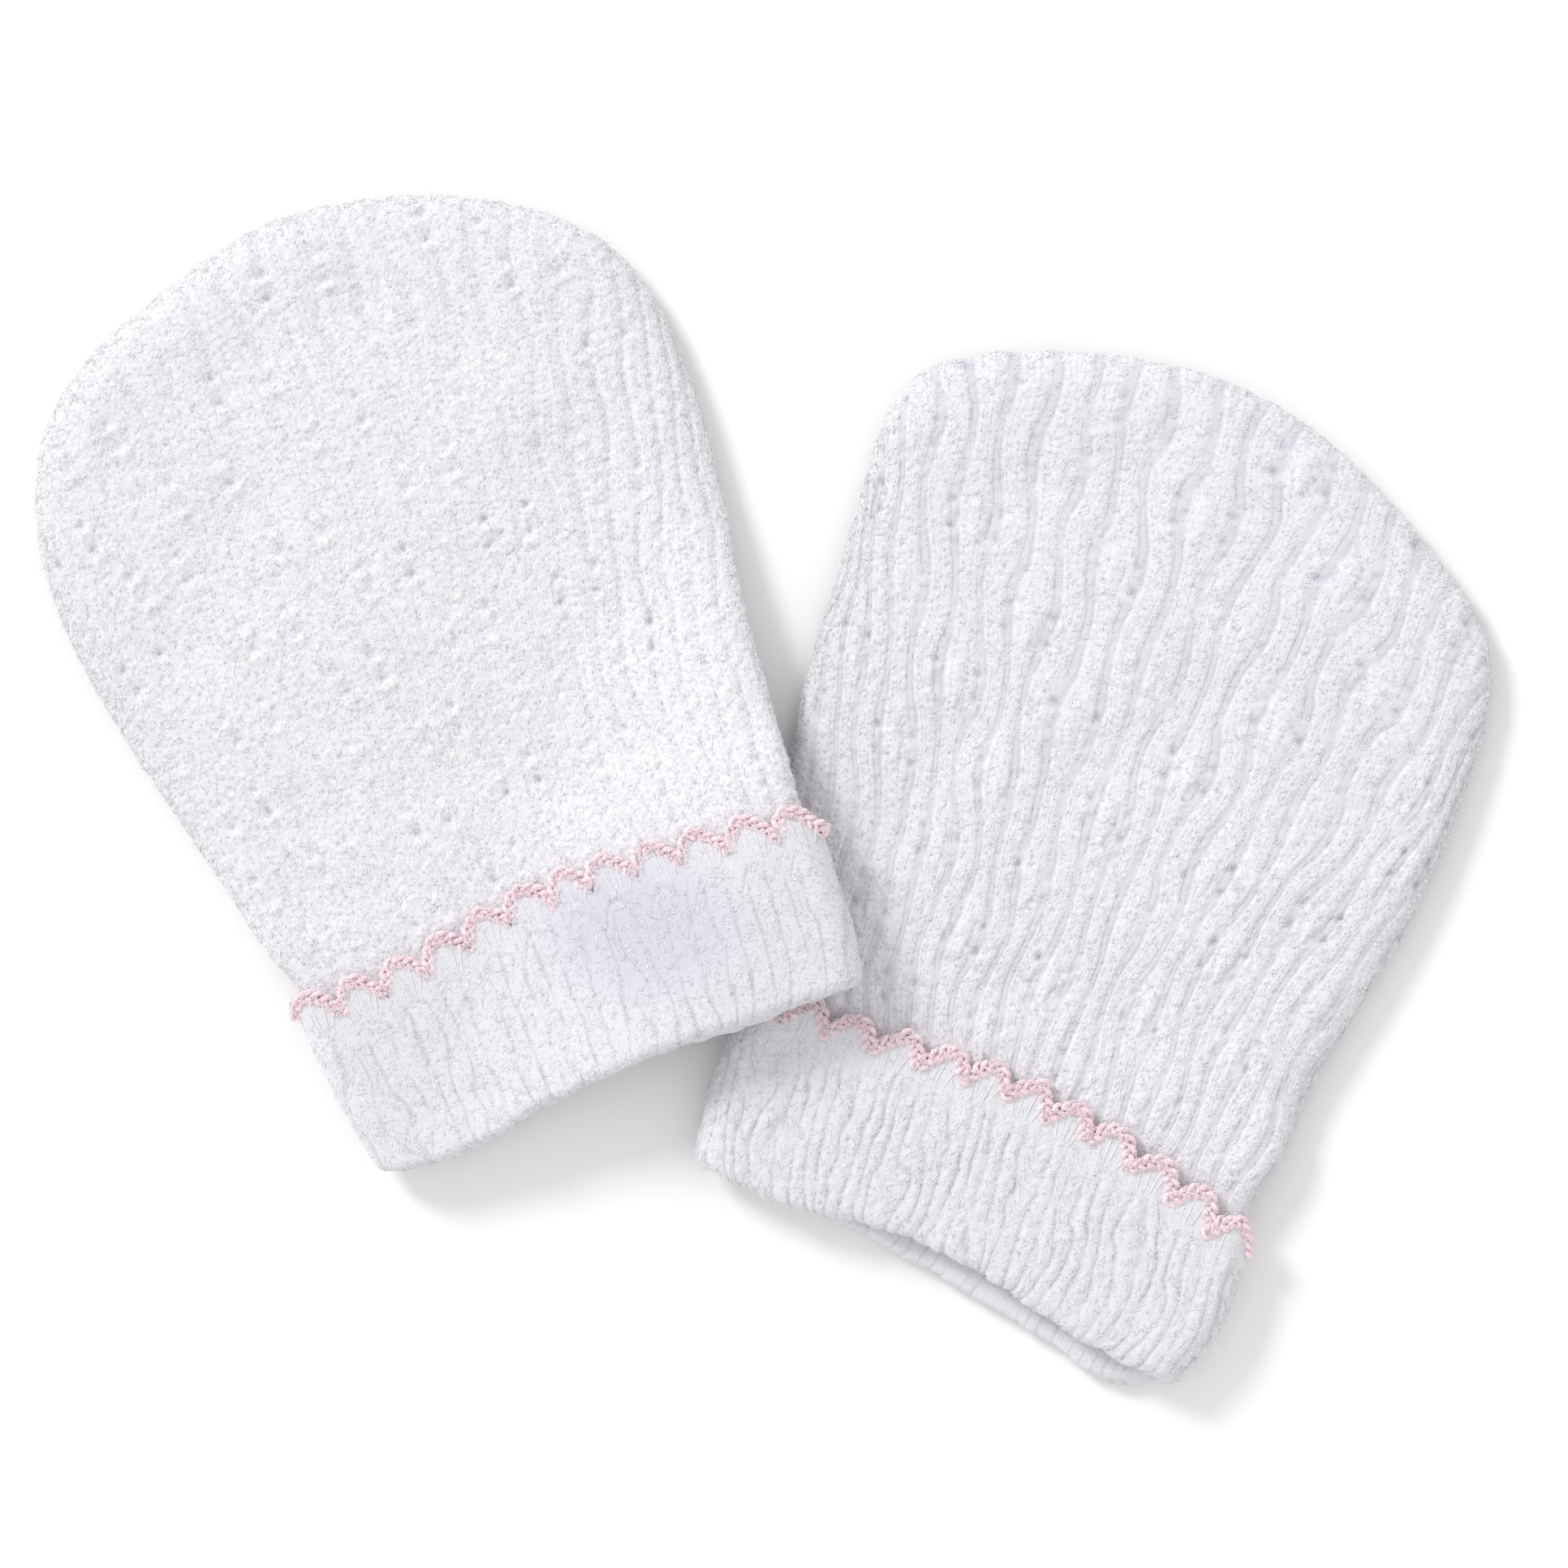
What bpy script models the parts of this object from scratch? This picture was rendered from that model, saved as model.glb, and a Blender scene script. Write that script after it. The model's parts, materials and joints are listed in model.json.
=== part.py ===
"""A pair of newborn mittens in ribbed pointelle knit, laid flat with one corner on the other.

Each mitten is a front and a back panel seamed round the hand, a turned-up cuff on each panel and
a scalloped edging along each cuff's upper edge. All sizes below are in millimetres.
A mitten is drawn in its own frame: x across to the right, y along from the fold at its mouth to
its tip, z up from the table. placed() turns it into the pair's frame, whose origin is on the
table under the middle of the pair.
"""

import math
from collections import namedtuple

import bmesh
import bpy
import numpy as np

MILLIMETRE = 0.001

# The cloth
WALL = 1.2
GAP = 0.3
LAYER = WALL + GAP

# Heights of the flat layers: the cuff lies under and over the body's two walls
CUFF_HOLLOW = 0.9
BODY_HOLLOW = 1.8
CROWN = 0.5
CROWN_INSET = 26.0
CUFF_TOTAL = 2 * LAYER + 2 * WALL + CUFF_HOLLOW
BODY_TOTAL = 2 * WALL + BODY_HOLLOW
CUFF_SEAM = CUFF_TOTAL / 2
BODY_SEAM = 0.45 * BODY_TOTAL

# Lengths along the mitten
CUFF_TOP = 21.5
NARROW_PAST_CUFF = 1.5
STEP_START = CUFF_TOP + 4.5
STEP_END = CUFF_TOP + 14.0
STRAIGHT_END = 45.0
SHOULDER = 74.0
TIP = 108.0
BELOW_MOUTH = -12.0

# How far in from the side seam the cloth rounds over
CUFF_ROUND = 3.6
BODY_ROUND = 6.0

# The fold at the mouth, and where the leg inside it ends, which the panel is joined to
FOLD_RADIUS = (LAYER + WALL) / 2
FOLD_HOLLOW = GAP / 2
LEG_END = 5.5
PANEL_START = LEG_END + GAP

# The edging: a cord along round scallops, from half an arch inside one side to half an arch
# inside the other
SCALLOPS = 12
SCALLOP_HEIGHT = 2.7
SCALLOP_ROUNDNESS = 0.85
EDGING_RADIUS = 0.5
EDGING_REACH = 1.0 - 1.0 / SCALLOPS
CUFF_TO_EDGING = GAP + EDGING_RADIUS

# The knit: ribs, and pairs of eyelets that push the ribs apart at every repeat
RIBS = 21
REPEAT_RIBS = 4
REPEAT_ALONG = 18.4
SWAY = 0.9
SWAY_ACROSS = 2.4
SWAY_ALONG = 3.4
SWAY_FADE = 7.0
RIB_PITCH = 3.15
RIB_FADE = 2.4
RIBS_START = CUFF_TOP + 1.0
WAVE_HEIGHT = 0.22
WAVE_ACROSS = 9.0
WAVE_ALONG = 12.0

# How the upper mitten climbs onto the lower one
CLIMB = CUFF_TOTAL + 0.7
CLIMB_RUN = 30.0
CLIMB_OVER = 2.0
CLIMB_FADE_START = 47.0
CLIMB_FADE_END = 84.0

# Half the mitten's width on each side of its middle line, at a length along it
Section = namedtuple("Section", "along left right")
# Where the folded edge of the front cuff and of the back cuff lies, at a share of the half width
Fold = namedtuple("Fold", "share front back")
# Where the middle of the edging's arches lies, at a share of the half width
Edge = namedtuple("Edge", "share along")
Mitten = namedtuple(
    "Mitten", "name turn mouth cuff body tip folds edge arch_peak lean rib_relief climbs"
)

LEFT = Mitten(
    name="left",
    turn=21.5,
    mouth=(-16.6, -32.7),
    cuff=(
        Section(along=0.0, left=30.3, right=30.2),
        Section(along=7.0, left=31.5, right=31.6),
        Section(along=14.0, left=32.3, right=32.0),
        Section(along=21.5, left=32.8, right=32.6),
    ),
    body=(
        Section(along=28.0, left=33.0, right=31.6),
        Section(along=36.0, left=34.8, right=32.4),
        Section(along=48.0, left=37.5, right=33.8),
        Section(along=60.0, left=40.0, right=36.0),
        Section(along=72.0, left=41.4, right=37.2),
        Section(along=82.0, left=40.9, right=36.9),
        Section(along=90.0, left=38.4, right=34.8),
        Section(along=96.5, left=33.9, right=29.8),
        Section(along=101.4, left=26.9, right=22.8),
        Section(along=105.0, left=17.0, right=15.2),
        Section(along=107.4, left=8.0, right=6.4),
    ),
    tip=(-1.0, 108.3),
    folds=(
        Fold(share=-1.0, front=-0.3, back=-0.3),
        Fold(share=-0.7, front=-1.3, back=-1.6),
        Fold(share=-0.3, front=0.5, back=0.0),
        Fold(share=0.2, front=1.4, back=0.7),
        Fold(share=0.6, front=0.9, back=-0.1),
        Fold(share=1.0, front=0.4, back=0.4),
    ),
    edge=(
        Edge(share=-1.0, along=20.9),
        Edge(share=-0.65, along=20.5),
        Edge(share=-0.4, along=21.5),
        Edge(share=-0.2, along=22.8),
        Edge(share=0.1, along=23.3),
        Edge(share=0.35, along=22.7),
        Edge(share=0.6, along=21.8),
        Edge(share=0.8, along=20.8),
        Edge(share=1.0, along=19.9),
    ),
    arch_peak=0.35,
    lean=0.05,
    rib_relief=0.3,
    climbs=True,
)

RIGHT = Mitten(
    name="right",
    turn=-24.0,
    mouth=(20.4, -54.9),
    cuff=(
        Section(along=0.0, left=31.4, right=31.0),
        Section(along=7.0, left=33.0, right=33.0),
        Section(along=14.0, left=33.6, right=32.5),
        Section(along=21.5, left=34.4, right=31.9),
    ),
    body=(
        Section(along=28.0, left=35.6, right=31.3),
        Section(along=36.0, left=37.6, right=31.2),
        Section(along=48.0, left=40.4, right=32.6),
        Section(along=60.0, left=42.6, right=34.0),
        Section(along=72.0, left=44.0, right=33.8),
        Section(along=82.0, left=45.4, right=32.8),
        Section(along=89.0, left=46.0, right=31.2),
        Section(along=95.0, left=44.2, right=26.6),
        Section(along=99.8, left=38.4, right=18.8),
        Section(along=103.6, left=30.8, right=11.2),
        Section(along=106.6, left=22.0, right=3.4),
    ),
    tip=(-9.0, 108.4),
    folds=(
        Fold(share=-1.0, front=-0.2, back=-0.2),
        Fold(share=-0.6, front=-0.3, back=-0.5),
        Fold(share=-0.2, front=2.0, back=-0.6),
        Fold(share=0.1, front=1.8, back=-1.5),
        Fold(share=0.5, front=-0.2, back=-3.0),
        Fold(share=0.85, front=-1.2, back=-4.2),
        Fold(share=1.0, front=-1.4, back=-1.4),
    ),
    edge=(
        Edge(share=-1.0, along=19.8),
        Edge(share=-0.7, along=20.8),
        Edge(share=-0.42, along=21.6),
        Edge(share=-0.05, along=22.8),
        Edge(share=0.2, along=22.4),
        Edge(share=0.42, along=21.6),
        Edge(share=0.58, along=20.6),
        Edge(share=0.75, along=19.3),
        Edge(share=0.88, along=18.1),
        Edge(share=1.0, along=17.0),
    ),
    arch_peak=0.65,
    lean=-0.03,
    rib_relief=0.5,
    climbs=False,
)

# The lower mitten's left side, over which the upper one climbs, in the lower one's own frame
LEDGE_FOOT = (-34.0, 0.0)
LEDGE_TOP = (-41.0, 52.0)

# Where the pair's frame has its origin in the layout that the mouths are given in
PAIR_MIDDLE = (-0.15, 0.63)

# How finely each surface is divided
OUTLINE_POINTS = 360
ROUNDING_STEPS = (0.0, 0.1, 0.43, 1.0)
PLAIN_COLUMNS = 15
RIB_ROW = REPEAT_ALONG / 4
RIB_LOW_ROWS = (10.0, 14.5, 19.0, RIBS_START, 26.5, 31.1, 35.7, 40.3)
PLAIN_LOW_ROWS = (10.0, 14.5, 19.0, CUFF_TOP + NARROW_PAST_CUFF, 26.5, 31.1, STEP_END)
PLAIN_DOME_ROWS = (0.15, 0.35, 0.6, 0.8, 0.93, 1.0)
DOME_EDGE_ROWS = (0.93, 0.965, 0.988, 1.0)
CUFF_ROWS = (0.0, 0.25, 0.5, 0.75, 1.0)
FOLD_STEPS = 4
SCALLOP_STEPS = 4
CORD_SIDES = 5

WHITE_COTTON = (0.90, 0.90, 0.92, 1.0)
PINK_YARN = (0.92, 0.60, 0.68, 1.0)


def smooth_step(start, end, at):
    """0 before start, 1 after end, turning smoothly between them."""
    share = np.clip((np.asarray(at, float) - start) / (end - start), 0.0, 1.0)
    return share * share * (3.0 - 2.0 * share)


def edge_round(inset, radius):
    """A quarter round: 0 at the edge and 1 from radius inwards."""
    share = np.clip(inset / radius, 0.0, 1.0)
    return np.sqrt(1.0 - (1.0 - share) ** 2)


def mix(first, second, share):
    return first + (second - first) * share


def smooth_through(keys, values, at):
    """Smooth cubics through values that are given at rising keys."""
    keys = np.asarray(keys, float)
    values = np.asarray(values, float)
    slopes = np.gradient(values, keys, axis=0)
    at = np.clip(np.asarray(at, float), keys[0], keys[-1])
    i = np.clip(np.searchsorted(keys, at, side="right") - 1, 0, len(keys) - 2)
    span = keys[i + 1] - keys[i]
    share = (at - keys[i]) / span
    if values.ndim == 2:
        share = share[..., None]
        span = span[..., None]
    rest = 1.0 - share
    return (
        (1.0 + 2.0 * share) * rest**2 * values[i]
        + share * rest**2 * span * slopes[i]
        + share**2 * (3.0 - 2.0 * share) * values[i + 1]
        - share**2 * rest * span * slopes[i + 1]
    )


def table_column(rows, key, column, at):
    """A column of a table, read smoothly at any value of its key."""
    return smooth_through([getattr(r, key) for r in rows], [getattr(r, column) for r in rows], at)


def cuff_half_width(mitten, side, along):
    return table_column(mitten.cuff, "along", side, along)


def body_sections(mitten):
    """The body's sections from mouth to tip; inside the cuff it is narrower by the cuff's layer."""
    inside = [Section(s.along, s.left - LAYER, s.right - LAYER) for s in mitten.cuff]
    top = inside[-1]
    inside.append(Section(CUFF_TOP + NARROW_PAST_CUFF, top.left, top.right))
    return tuple(inside) + mitten.body


def body_outline(mitten, inset):
    """The panel's seam line from the mouth's left end round the tip to its right end, moved in."""
    sections = body_sections(mitten)
    left = [(-s.left, s.along) for s in sections]
    right = [(s.right, s.along) for s in reversed(sections)]
    points = np.array([(left[0][0], BELOW_MOUTH)] + left + [mitten.tip] + right
                      + [(right[-1][0], BELOW_MOUTH)])
    steps = np.concatenate([[0.0], np.cumsum(np.linalg.norm(np.diff(points, axis=0), axis=1))])
    line = smooth_through(steps, points, np.linspace(0.0, steps[-1], OUTLINE_POINTS))
    tangent = np.gradient(line, axis=0)
    tangent /= np.linalg.norm(tangent, axis=1)[:, None]
    inwards = np.stack([tangent[:, 1], -tangent[:, 0]], axis=1)
    return line + inwards * inset


def distance_to(line, x, y):
    """The shortest distance from each point to a line of short stretches."""
    start = line[:-1]
    stretch = line[1:] - start
    to_x = x.reshape(-1, 1) - start[:, 0]
    to_y = y.reshape(-1, 1) - start[:, 1]
    share = np.clip((to_x * stretch[:, 0] + to_y * stretch[:, 1]) / (stretch**2).sum(axis=1), 0, 1)
    away = np.hypot(to_x - share * stretch[:, 0], to_y - share * stretch[:, 1])
    return away.min(axis=1).reshape(x.shape)


def side_at(line, along, rising):
    """The x of an outline's rising or falling side at a length along the mitten."""
    tip = int(np.argmax(line[:, 1]))
    side = line[: tip + 1] if rising else line[tip:][::-1]
    return np.interp(along, side[:, 1], side[:, 0])


def outline_stretch(line, shares, lean):
    """Points over the dome of an outline, from its left shoulder to its right one."""
    tip = int(np.argmax(line[:, 1]))
    over = np.flatnonzero(line[:, 1] >= SHOULDER)
    dome = np.vstack([
        (side_at(line, SHOULDER, True), SHOULDER),
        line[over[over <= tip]],
        line[over[over > tip]],
        (side_at(line, SHOULDER, False), SHOULDER),
    ])
    steps = np.concatenate([[0.0], np.cumsum(np.linalg.norm(np.diff(dome, axis=0), axis=1))])
    at = (shares + lean * 4.0 * shares * (1.0 - shares)) * steps[-1]
    return np.stack([np.interp(at, steps, dome[:, k]) for k in (0, 1)], axis=1)


def column_layout(stretches):
    """Columns across a panel: a few over each rounded side, and even ones between them.

    Each column has its share of the width and how many radii it lies off that place.
    """
    rounding = np.array(ROUNDING_STEPS)
    even = np.linspace(0.0, 1.0, stretches + 1)[1:-1]
    share = np.concatenate([np.zeros(len(rounding)), even, np.ones(len(rounding))])
    radii = np.concatenate([rounding, 1.0 - 2.0 * even, -rounding[::-1]])
    return share, radii


def across(layout, left, right, radius):
    """The columns' places between a left and a right edge with rounded sides."""
    share, radii = layout
    return mix(left, right, share) + radii * radius


def panel_step(along):
    """0 where the panel lies inside the cuff, 1 where it has come down to the body's height."""
    return smooth_step(STEP_START, STEP_END, along)


def panel_plan(mitten, inset, layout, low_rows, dome_rows):
    """A panel's points in plan, row by row from inside the cuff to the dome."""
    line = body_outline(mitten, inset)
    rows = []
    for along in (PANEL_START,) + tuple(low_rows) + (STRAIGHT_END,):
        radius = mix(CUFF_ROUND - LAYER, BODY_ROUND, panel_step(along)) - inset
        left = side_at(line, along, True)
        right = side_at(line, along, False)
        x = across(layout, left, right, radius)
        rows.append(np.stack([x, np.full_like(x, along)], axis=1))
    bottom = rows[-1]
    width_share = (bottom[:, 0] - bottom[0, 0]) / (bottom[-1, 0] - bottom[0, 0])
    top = outline_stretch(line, width_share, mitten.lean)
    for share in dome_rows:
        along = mix(STRAIGHT_END, SHOULDER, share)
        left = np.array([side_at(line, along, True), along])
        right = np.array([side_at(line, along, False), along])
        u = width_share[:, None]
        sides = mix(left, right, u)
        corners = mix(mix(bottom[0], bottom[-1], u), mix(top[0], top[-1], u), share)
        rows.append(mix(bottom, top, share) + sides - corners)
    return np.array(rows)


def panel_height(mitten, inset, front, x, y, to_edge):
    """The height of a panel's wall, inset from its outer face, at points in plan."""
    step = panel_step(y)
    seam = mix(CUFF_SEAM, BODY_SEAM, step) + (GAP / 2 if front else -GAP / 2)
    radius = mix(CUFF_ROUND - LAYER, BODY_ROUND, step) - inset
    rounded = edge_round(to_edge, radius)
    if not front:
        return mix(seam, mix(LAYER, 0.0, step) + inset, rounded)
    wave = WAVE_HEIGHT * np.sin(x / WAVE_ACROSS + 1.0) * np.cos(y / WAVE_ALONG)
    raised = step * (CROWN * smooth_step(0.0, CROWN_INSET, to_edge) + wave)
    return mix(seam, mix(CUFF_TOTAL - LAYER, BODY_TOTAL, step) - inset + raised, rounded)


def panel_grid(mitten, inset, front, layout, low_rows, dome_rows):
    """One face of a panel's wall as a grid of points."""
    plan = panel_plan(mitten, inset, layout, low_rows, dome_rows)
    x = plan[..., 0]
    y = plan[..., 1]
    to_edge = distance_to(body_outline(mitten, inset), x, y)
    to_edge[:, 0] = 0.0
    to_edge[:, -1] = 0.0
    to_edge[-1, :] = 0.0
    z = panel_height(mitten, inset, front, x, y, to_edge)
    return np.stack([x, y, z], axis=-1), to_edge


def raise_ribs(mitten, grid, to_edge):
    """Lifts every second column into a rib, and sways the ribs round the eyelets."""
    rows, columns = grid.shape[:2]
    first = len(ROUNDING_STEPS) - 1
    column = np.arange(columns) - first
    rib = column / 2.0
    raised = (column % 2 == 1) & (column > 0) & (column < 2 * RIBS)
    rib = np.broadcast_to(rib, (rows, columns))
    along = np.maximum(grid[..., 1], 0.0) / REPEAT_ALONG
    repeat = np.floor(rib / REPEAT_RIBS * 2.0 + 0.5)
    off_across = (rib - repeat * REPEAT_RIBS / 2.0) * RIB_PITCH
    drop = along + repeat / 2.0
    off_along = (drop - np.floor(drop + 0.5)) * REPEAT_ALONG
    push = np.exp(-((off_across / SWAY_ACROSS) ** 2) - (off_along / SWAY_ALONG) ** 2)
    clear = smooth_step(0.0, SWAY_FADE, to_edge)
    clear *= smooth_step(RIBS_START, RIBS_START + SWAY_FADE, grid[..., 1])
    grid[..., 0] += SWAY * push * np.clip(off_across / SWAY_ACROSS, -1.0, 1.0) * clear
    fade = smooth_step(0.0, RIB_FADE, to_edge)
    fade *= smooth_step(RIBS_START, RIBS_START + RIB_FADE, grid[..., 1])
    grid[..., 2] += mitten.rib_relief * raised * fade
    return grid


def edge_middle(mitten, share):
    """The middle of the edging's scallops along the mitten, at a share of its half width."""
    return table_column(mitten.edge, "share", "along", share)


def edging_line(mitten, share):
    """The edging's own line: arches that peak to one side, and points between them."""
    turn = SCALLOPS * (share + 1.0) / 2.0
    within = turn - np.floor(turn)
    peak = mitten.arch_peak
    rising = 0.5 * within / peak
    falling = 1.0 - 0.5 * (1.0 - within) / (1.0 - peak)
    round_arch = np.where(within < peak, rising, falling)
    arch = np.sin(math.pi * round_arch) ** SCALLOP_ROUNDNESS
    return edge_middle(mitten, share) + SCALLOP_HEIGHT * (arch - 0.5)


def cuff_place(mitten, share):
    """The x at a share of the half width, where the cuff ends."""
    left = -cuff_half_width(mitten, "left", CUFF_TOP)
    right = cuff_half_width(mitten, "right", CUFF_TOP)
    return mix(left, right, (np.asarray(share) + 1.0) / 2.0)


def cuff_points(mitten, front, layout, along, depth):
    """A row of points of the cuff, at a depth in from its outer face."""
    left = -cuff_half_width(mitten, "left", along) + depth
    right = cuff_half_width(mitten, "right", along) - depth
    radius = CUFF_ROUND - depth
    x = across(layout, left, right, radius)
    seam = CUFF_SEAM + (GAP / 2 if front else -GAP / 2)
    inset = np.minimum(x - left, right - x)
    z = mix(seam, CUFF_TOTAL - depth if front else depth, edge_round(inset, radius))
    return np.stack([x, along, z], axis=-1)


def cuff_grid(mitten, front, layout, fold_radius):
    """One face of the cuff: down its turned-up side, round the fold and up the leg inside."""
    depth = FOLD_RADIUS - fold_radius
    level = np.full(len(layout[0]), CUFF_TOP)
    x = cuff_points(mitten, front, layout, level, depth)[:, 0]
    share = np.interp(x, cuff_place(mitten, (-1.0, 1.0)), (-1.0, 1.0))
    top = edge_middle(mitten, share) - SCALLOP_HEIGHT / 2.0 - CUFF_TO_EDGING
    fold = table_column(mitten.folds, "share", "front" if front else "back", share) + FOLD_RADIUS
    grid = [cuff_points(mitten, front, layout, mix(top, fold, row), depth) for row in CUFF_ROWS]
    for turn in np.linspace(0.0, math.pi, FOLD_STEPS + 1)[1:]:
        around = fold - fold_radius * math.sin(turn)
        depth = FOLD_RADIUS - fold_radius * math.cos(turn)
        grid.append(cuff_points(mitten, front, layout, around, depth))
    leg_end = np.full_like(share, LEG_END)
    grid.append(cuff_points(mitten, front, layout, leg_end, FOLD_RADIUS + fold_radius))
    return np.array(grid)


def climb(points):
    """How far the upper mitten is lifted by the lower one beneath it."""
    turn = math.radians(RIGHT.turn)
    from_x = points[:, 0] - RIGHT.mouth[0]
    from_y = points[:, 1] - RIGHT.mouth[1]
    x = from_x * math.cos(turn) + from_y * math.sin(turn)
    y = from_y * math.cos(turn) - from_x * math.sin(turn)
    run = np.subtract(LEDGE_TOP, LEDGE_FOOT)
    run /= np.linalg.norm(run)
    inside = (x - LEDGE_FOOT[0]) * run[1] - (y - LEDGE_FOOT[1]) * run[0]
    still_beneath = 1.0 - smooth_step(CLIMB_FADE_START, CLIMB_FADE_END, y)
    return CLIMB * smooth_step(-CLIMB_RUN, CLIMB_OVER, inside) * still_beneath


def placed(mitten, points):
    """Turns points from the mitten's own frame into the pair's, in metres."""
    turn = math.radians(mitten.turn)
    x = points[:, 0] * math.cos(turn) - points[:, 1] * math.sin(turn) + mitten.mouth[0]
    y = points[:, 0] * math.sin(turn) + points[:, 1] * math.cos(turn) + mitten.mouth[1]
    placed_points = np.stack([x, y, points[:, 2]], axis=1)
    if mitten.climbs:
        placed_points[:, 2] += climb(placed_points)
    placed_points[:, :2] -= PAIR_MIDDLE
    return placed_points * MILLIMETRE


def add_object(name, mesh, material):
    """Makes an object of a closed mesh, faces outwards."""
    bmesh.ops.recalc_face_normals(mesh, faces=mesh.faces)
    data = bpy.data.meshes.new(name)
    mesh.to_mesh(data)
    mesh.free()
    data.materials.append(material)
    obj = bpy.data.objects.new(name, data)
    bpy.context.scene.collection.objects.link(obj)
    return obj


def lengths_along(vertices):
    steps = [0.0]
    for a, b in zip(vertices, vertices[1:]):
        steps.append(steps[-1] + (b.co - a.co).length)
    return [step / steps[-1] for step in steps]


def join_sides(mesh, first, second):
    """Fills the strip between two lines of vertices that run beside each other."""
    first_at = lengths_along(first)
    second_at = lengths_along(second)
    i = j = 0
    while i < len(first) - 1 or j < len(second) - 1:
        on_first = j == len(second) - 1 or (
            i < len(first) - 1 and first_at[i + 1] <= second_at[j + 1]
        )
        if on_first:
            mesh.faces.new((first[i], first[i + 1], second[j]))
            i += 1
        else:
            mesh.faces.new((first[i], second[j + 1], second[j]))
            j += 1


def wall(name, mitten, outer, inner, material):
    """A closed wall between two grids of points that may be divided differently."""
    mesh = bmesh.new()
    grids = []
    for grid in (outer, inner):
        rows, columns = grid.shape[:2]
        flat = placed(mitten, grid.reshape(-1, 3))
        vertices = [mesh.verts.new(point) for point in flat]
        vertices = [vertices[r * columns:(r + 1) * columns] for r in range(rows)]
        for low, high in zip(vertices, vertices[1:]):
            for c in range(columns - 1):
                mesh.faces.new((low[c], low[c + 1], high[c + 1], high[c]))
        grids.append(vertices)
    for side in (
        lambda grid: grid[0],
        lambda grid: grid[-1],
        lambda grid: [row[0] for row in grid],
        lambda grid: [row[-1] for row in grid],
    ):
        join_sides(mesh, side(grids[0]), side(grids[1]))
    return add_object(name, mesh, material)


def cord(name, mitten, path, radius, material):
    """A closed round cord along a path."""
    tangent = np.gradient(path, axis=0)
    tangent /= np.linalg.norm(tangent, axis=1)[:, None]
    aside = np.cross(tangent, (0.0, 0.0, 1.0))
    aside /= np.linalg.norm(aside, axis=1)[:, None]
    upward = np.cross(aside, tangent)
    mesh = bmesh.new()
    rings = []
    for point, side, up in zip(path, aside, upward):
        turns = [2.0 * math.pi * k / CORD_SIDES for k in range(CORD_SIDES)]
        ring = np.array([point + radius * (math.cos(t) * side + math.sin(t) * up) for t in turns])
        rings.append([mesh.verts.new(p) for p in placed(mitten, ring)])
    for near, far in zip(rings, rings[1:]):
        for k in range(CORD_SIDES):
            following = (k + 1) % CORD_SIDES
            mesh.faces.new((near[k], near[following], far[following], far[k]))
    mesh.faces.new(rings[0])
    mesh.faces.new(rings[-1])
    return add_object(name, mesh, material)


def make_front(mitten, material):
    dome = TIP - STRAIGHT_END
    dome_rows = np.append(np.arange(RIB_ROW, dome - SWAY_FADE, RIB_ROW) / dome, DOME_EDGE_ROWS)
    layout = column_layout(2 * RIBS)
    grid, to_edge = panel_grid(mitten, 0.0, True, layout, RIB_LOW_ROWS, dome_rows)
    outer = raise_ribs(mitten, grid, to_edge)
    plain = column_layout(PLAIN_COLUMNS)
    inner, _ = panel_grid(mitten, WALL, True, plain, PLAIN_LOW_ROWS, PLAIN_DOME_ROWS)
    return wall(f"{mitten.name}_front", mitten, outer, inner, material)


def make_back(mitten, material):
    layout = column_layout(PLAIN_COLUMNS)
    faces = [
        panel_grid(mitten, inset, False, layout, PLAIN_LOW_ROWS, PLAIN_DOME_ROWS)[0]
        for inset in (0.0, WALL)
    ]
    return wall(f"{mitten.name}_back", mitten, *faces, material)


def make_cuff(mitten, front, material):
    layout = column_layout(PLAIN_COLUMNS)
    faces = [cuff_grid(mitten, front, layout, radius) for radius in (FOLD_RADIUS, FOLD_HOLLOW)]
    side = "front" if front else "back"
    return wall(f"{mitten.name}_{side}_cuff", mitten, *faces, material)


def make_edging(mitten, front, material):
    steps = (SCALLOPS - 1) * SCALLOP_STEPS
    share = np.linspace(-EDGING_REACH, EDGING_REACH, steps + 1)
    along = edging_line(mitten, share)
    x = cuff_place(mitten, share)
    to_edge = distance_to(body_outline(mitten, 0.0), x, along)
    surface = panel_height(mitten, 0.0, front, x, along, to_edge)
    clear = GAP + EDGING_RADIUS
    height = surface + mitten.rib_relief + clear if front else surface - clear
    side = "front" if front else "back"
    path = np.stack([x, along, height], axis=1)
    return cord(f"{mitten.name}_{side}_edging", mitten, path, EDGING_RADIUS, material)


def make_material(name, colour, roughness):
    material = bpy.data.materials.new(name)
    material.use_nodes = True
    shader = material.node_tree.nodes["Principled BSDF"]
    shader.inputs["Base Color"].default_value = colour
    shader.inputs["Roughness"].default_value = roughness
    shader.inputs["Metallic"].default_value = 0.0
    return material


def main():
    for obj in list(bpy.data.objects):
        bpy.data.objects.remove(obj)
    knit = make_material("pointelle_knit", WHITE_COTTON, 0.95)
    cuff_knit = make_material("cuff_knit", WHITE_COTTON, 0.95)
    yarn = make_material("edging_yarn", PINK_YARN, 0.9)
    for mitten in (LEFT, RIGHT):
        make_front(mitten, knit)
        make_back(mitten, knit)
        for front in (True, False):
            make_cuff(mitten, front, cuff_knit)
            make_edging(mitten, front, yarn)


main()
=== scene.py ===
# %% [markdown]
# # A pair of baby mittens in ribbed pointelle knit
#
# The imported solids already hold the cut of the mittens: two panels, two turned-up cuffs and two
# scalloped edgings each. This lesson dresses them. It builds a finer skin for every panel and cuff,
# knits ribs, eyelets and stitches into it, plaits the pink edging, and lights the pair on white.
#
# Loading the solids first gives the frame that everything is placed in. Lengths in this file are
# in millimetres of the mitten's own frame, and one function at the end of the shaping turns them
# into the metres of the pair.

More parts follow.
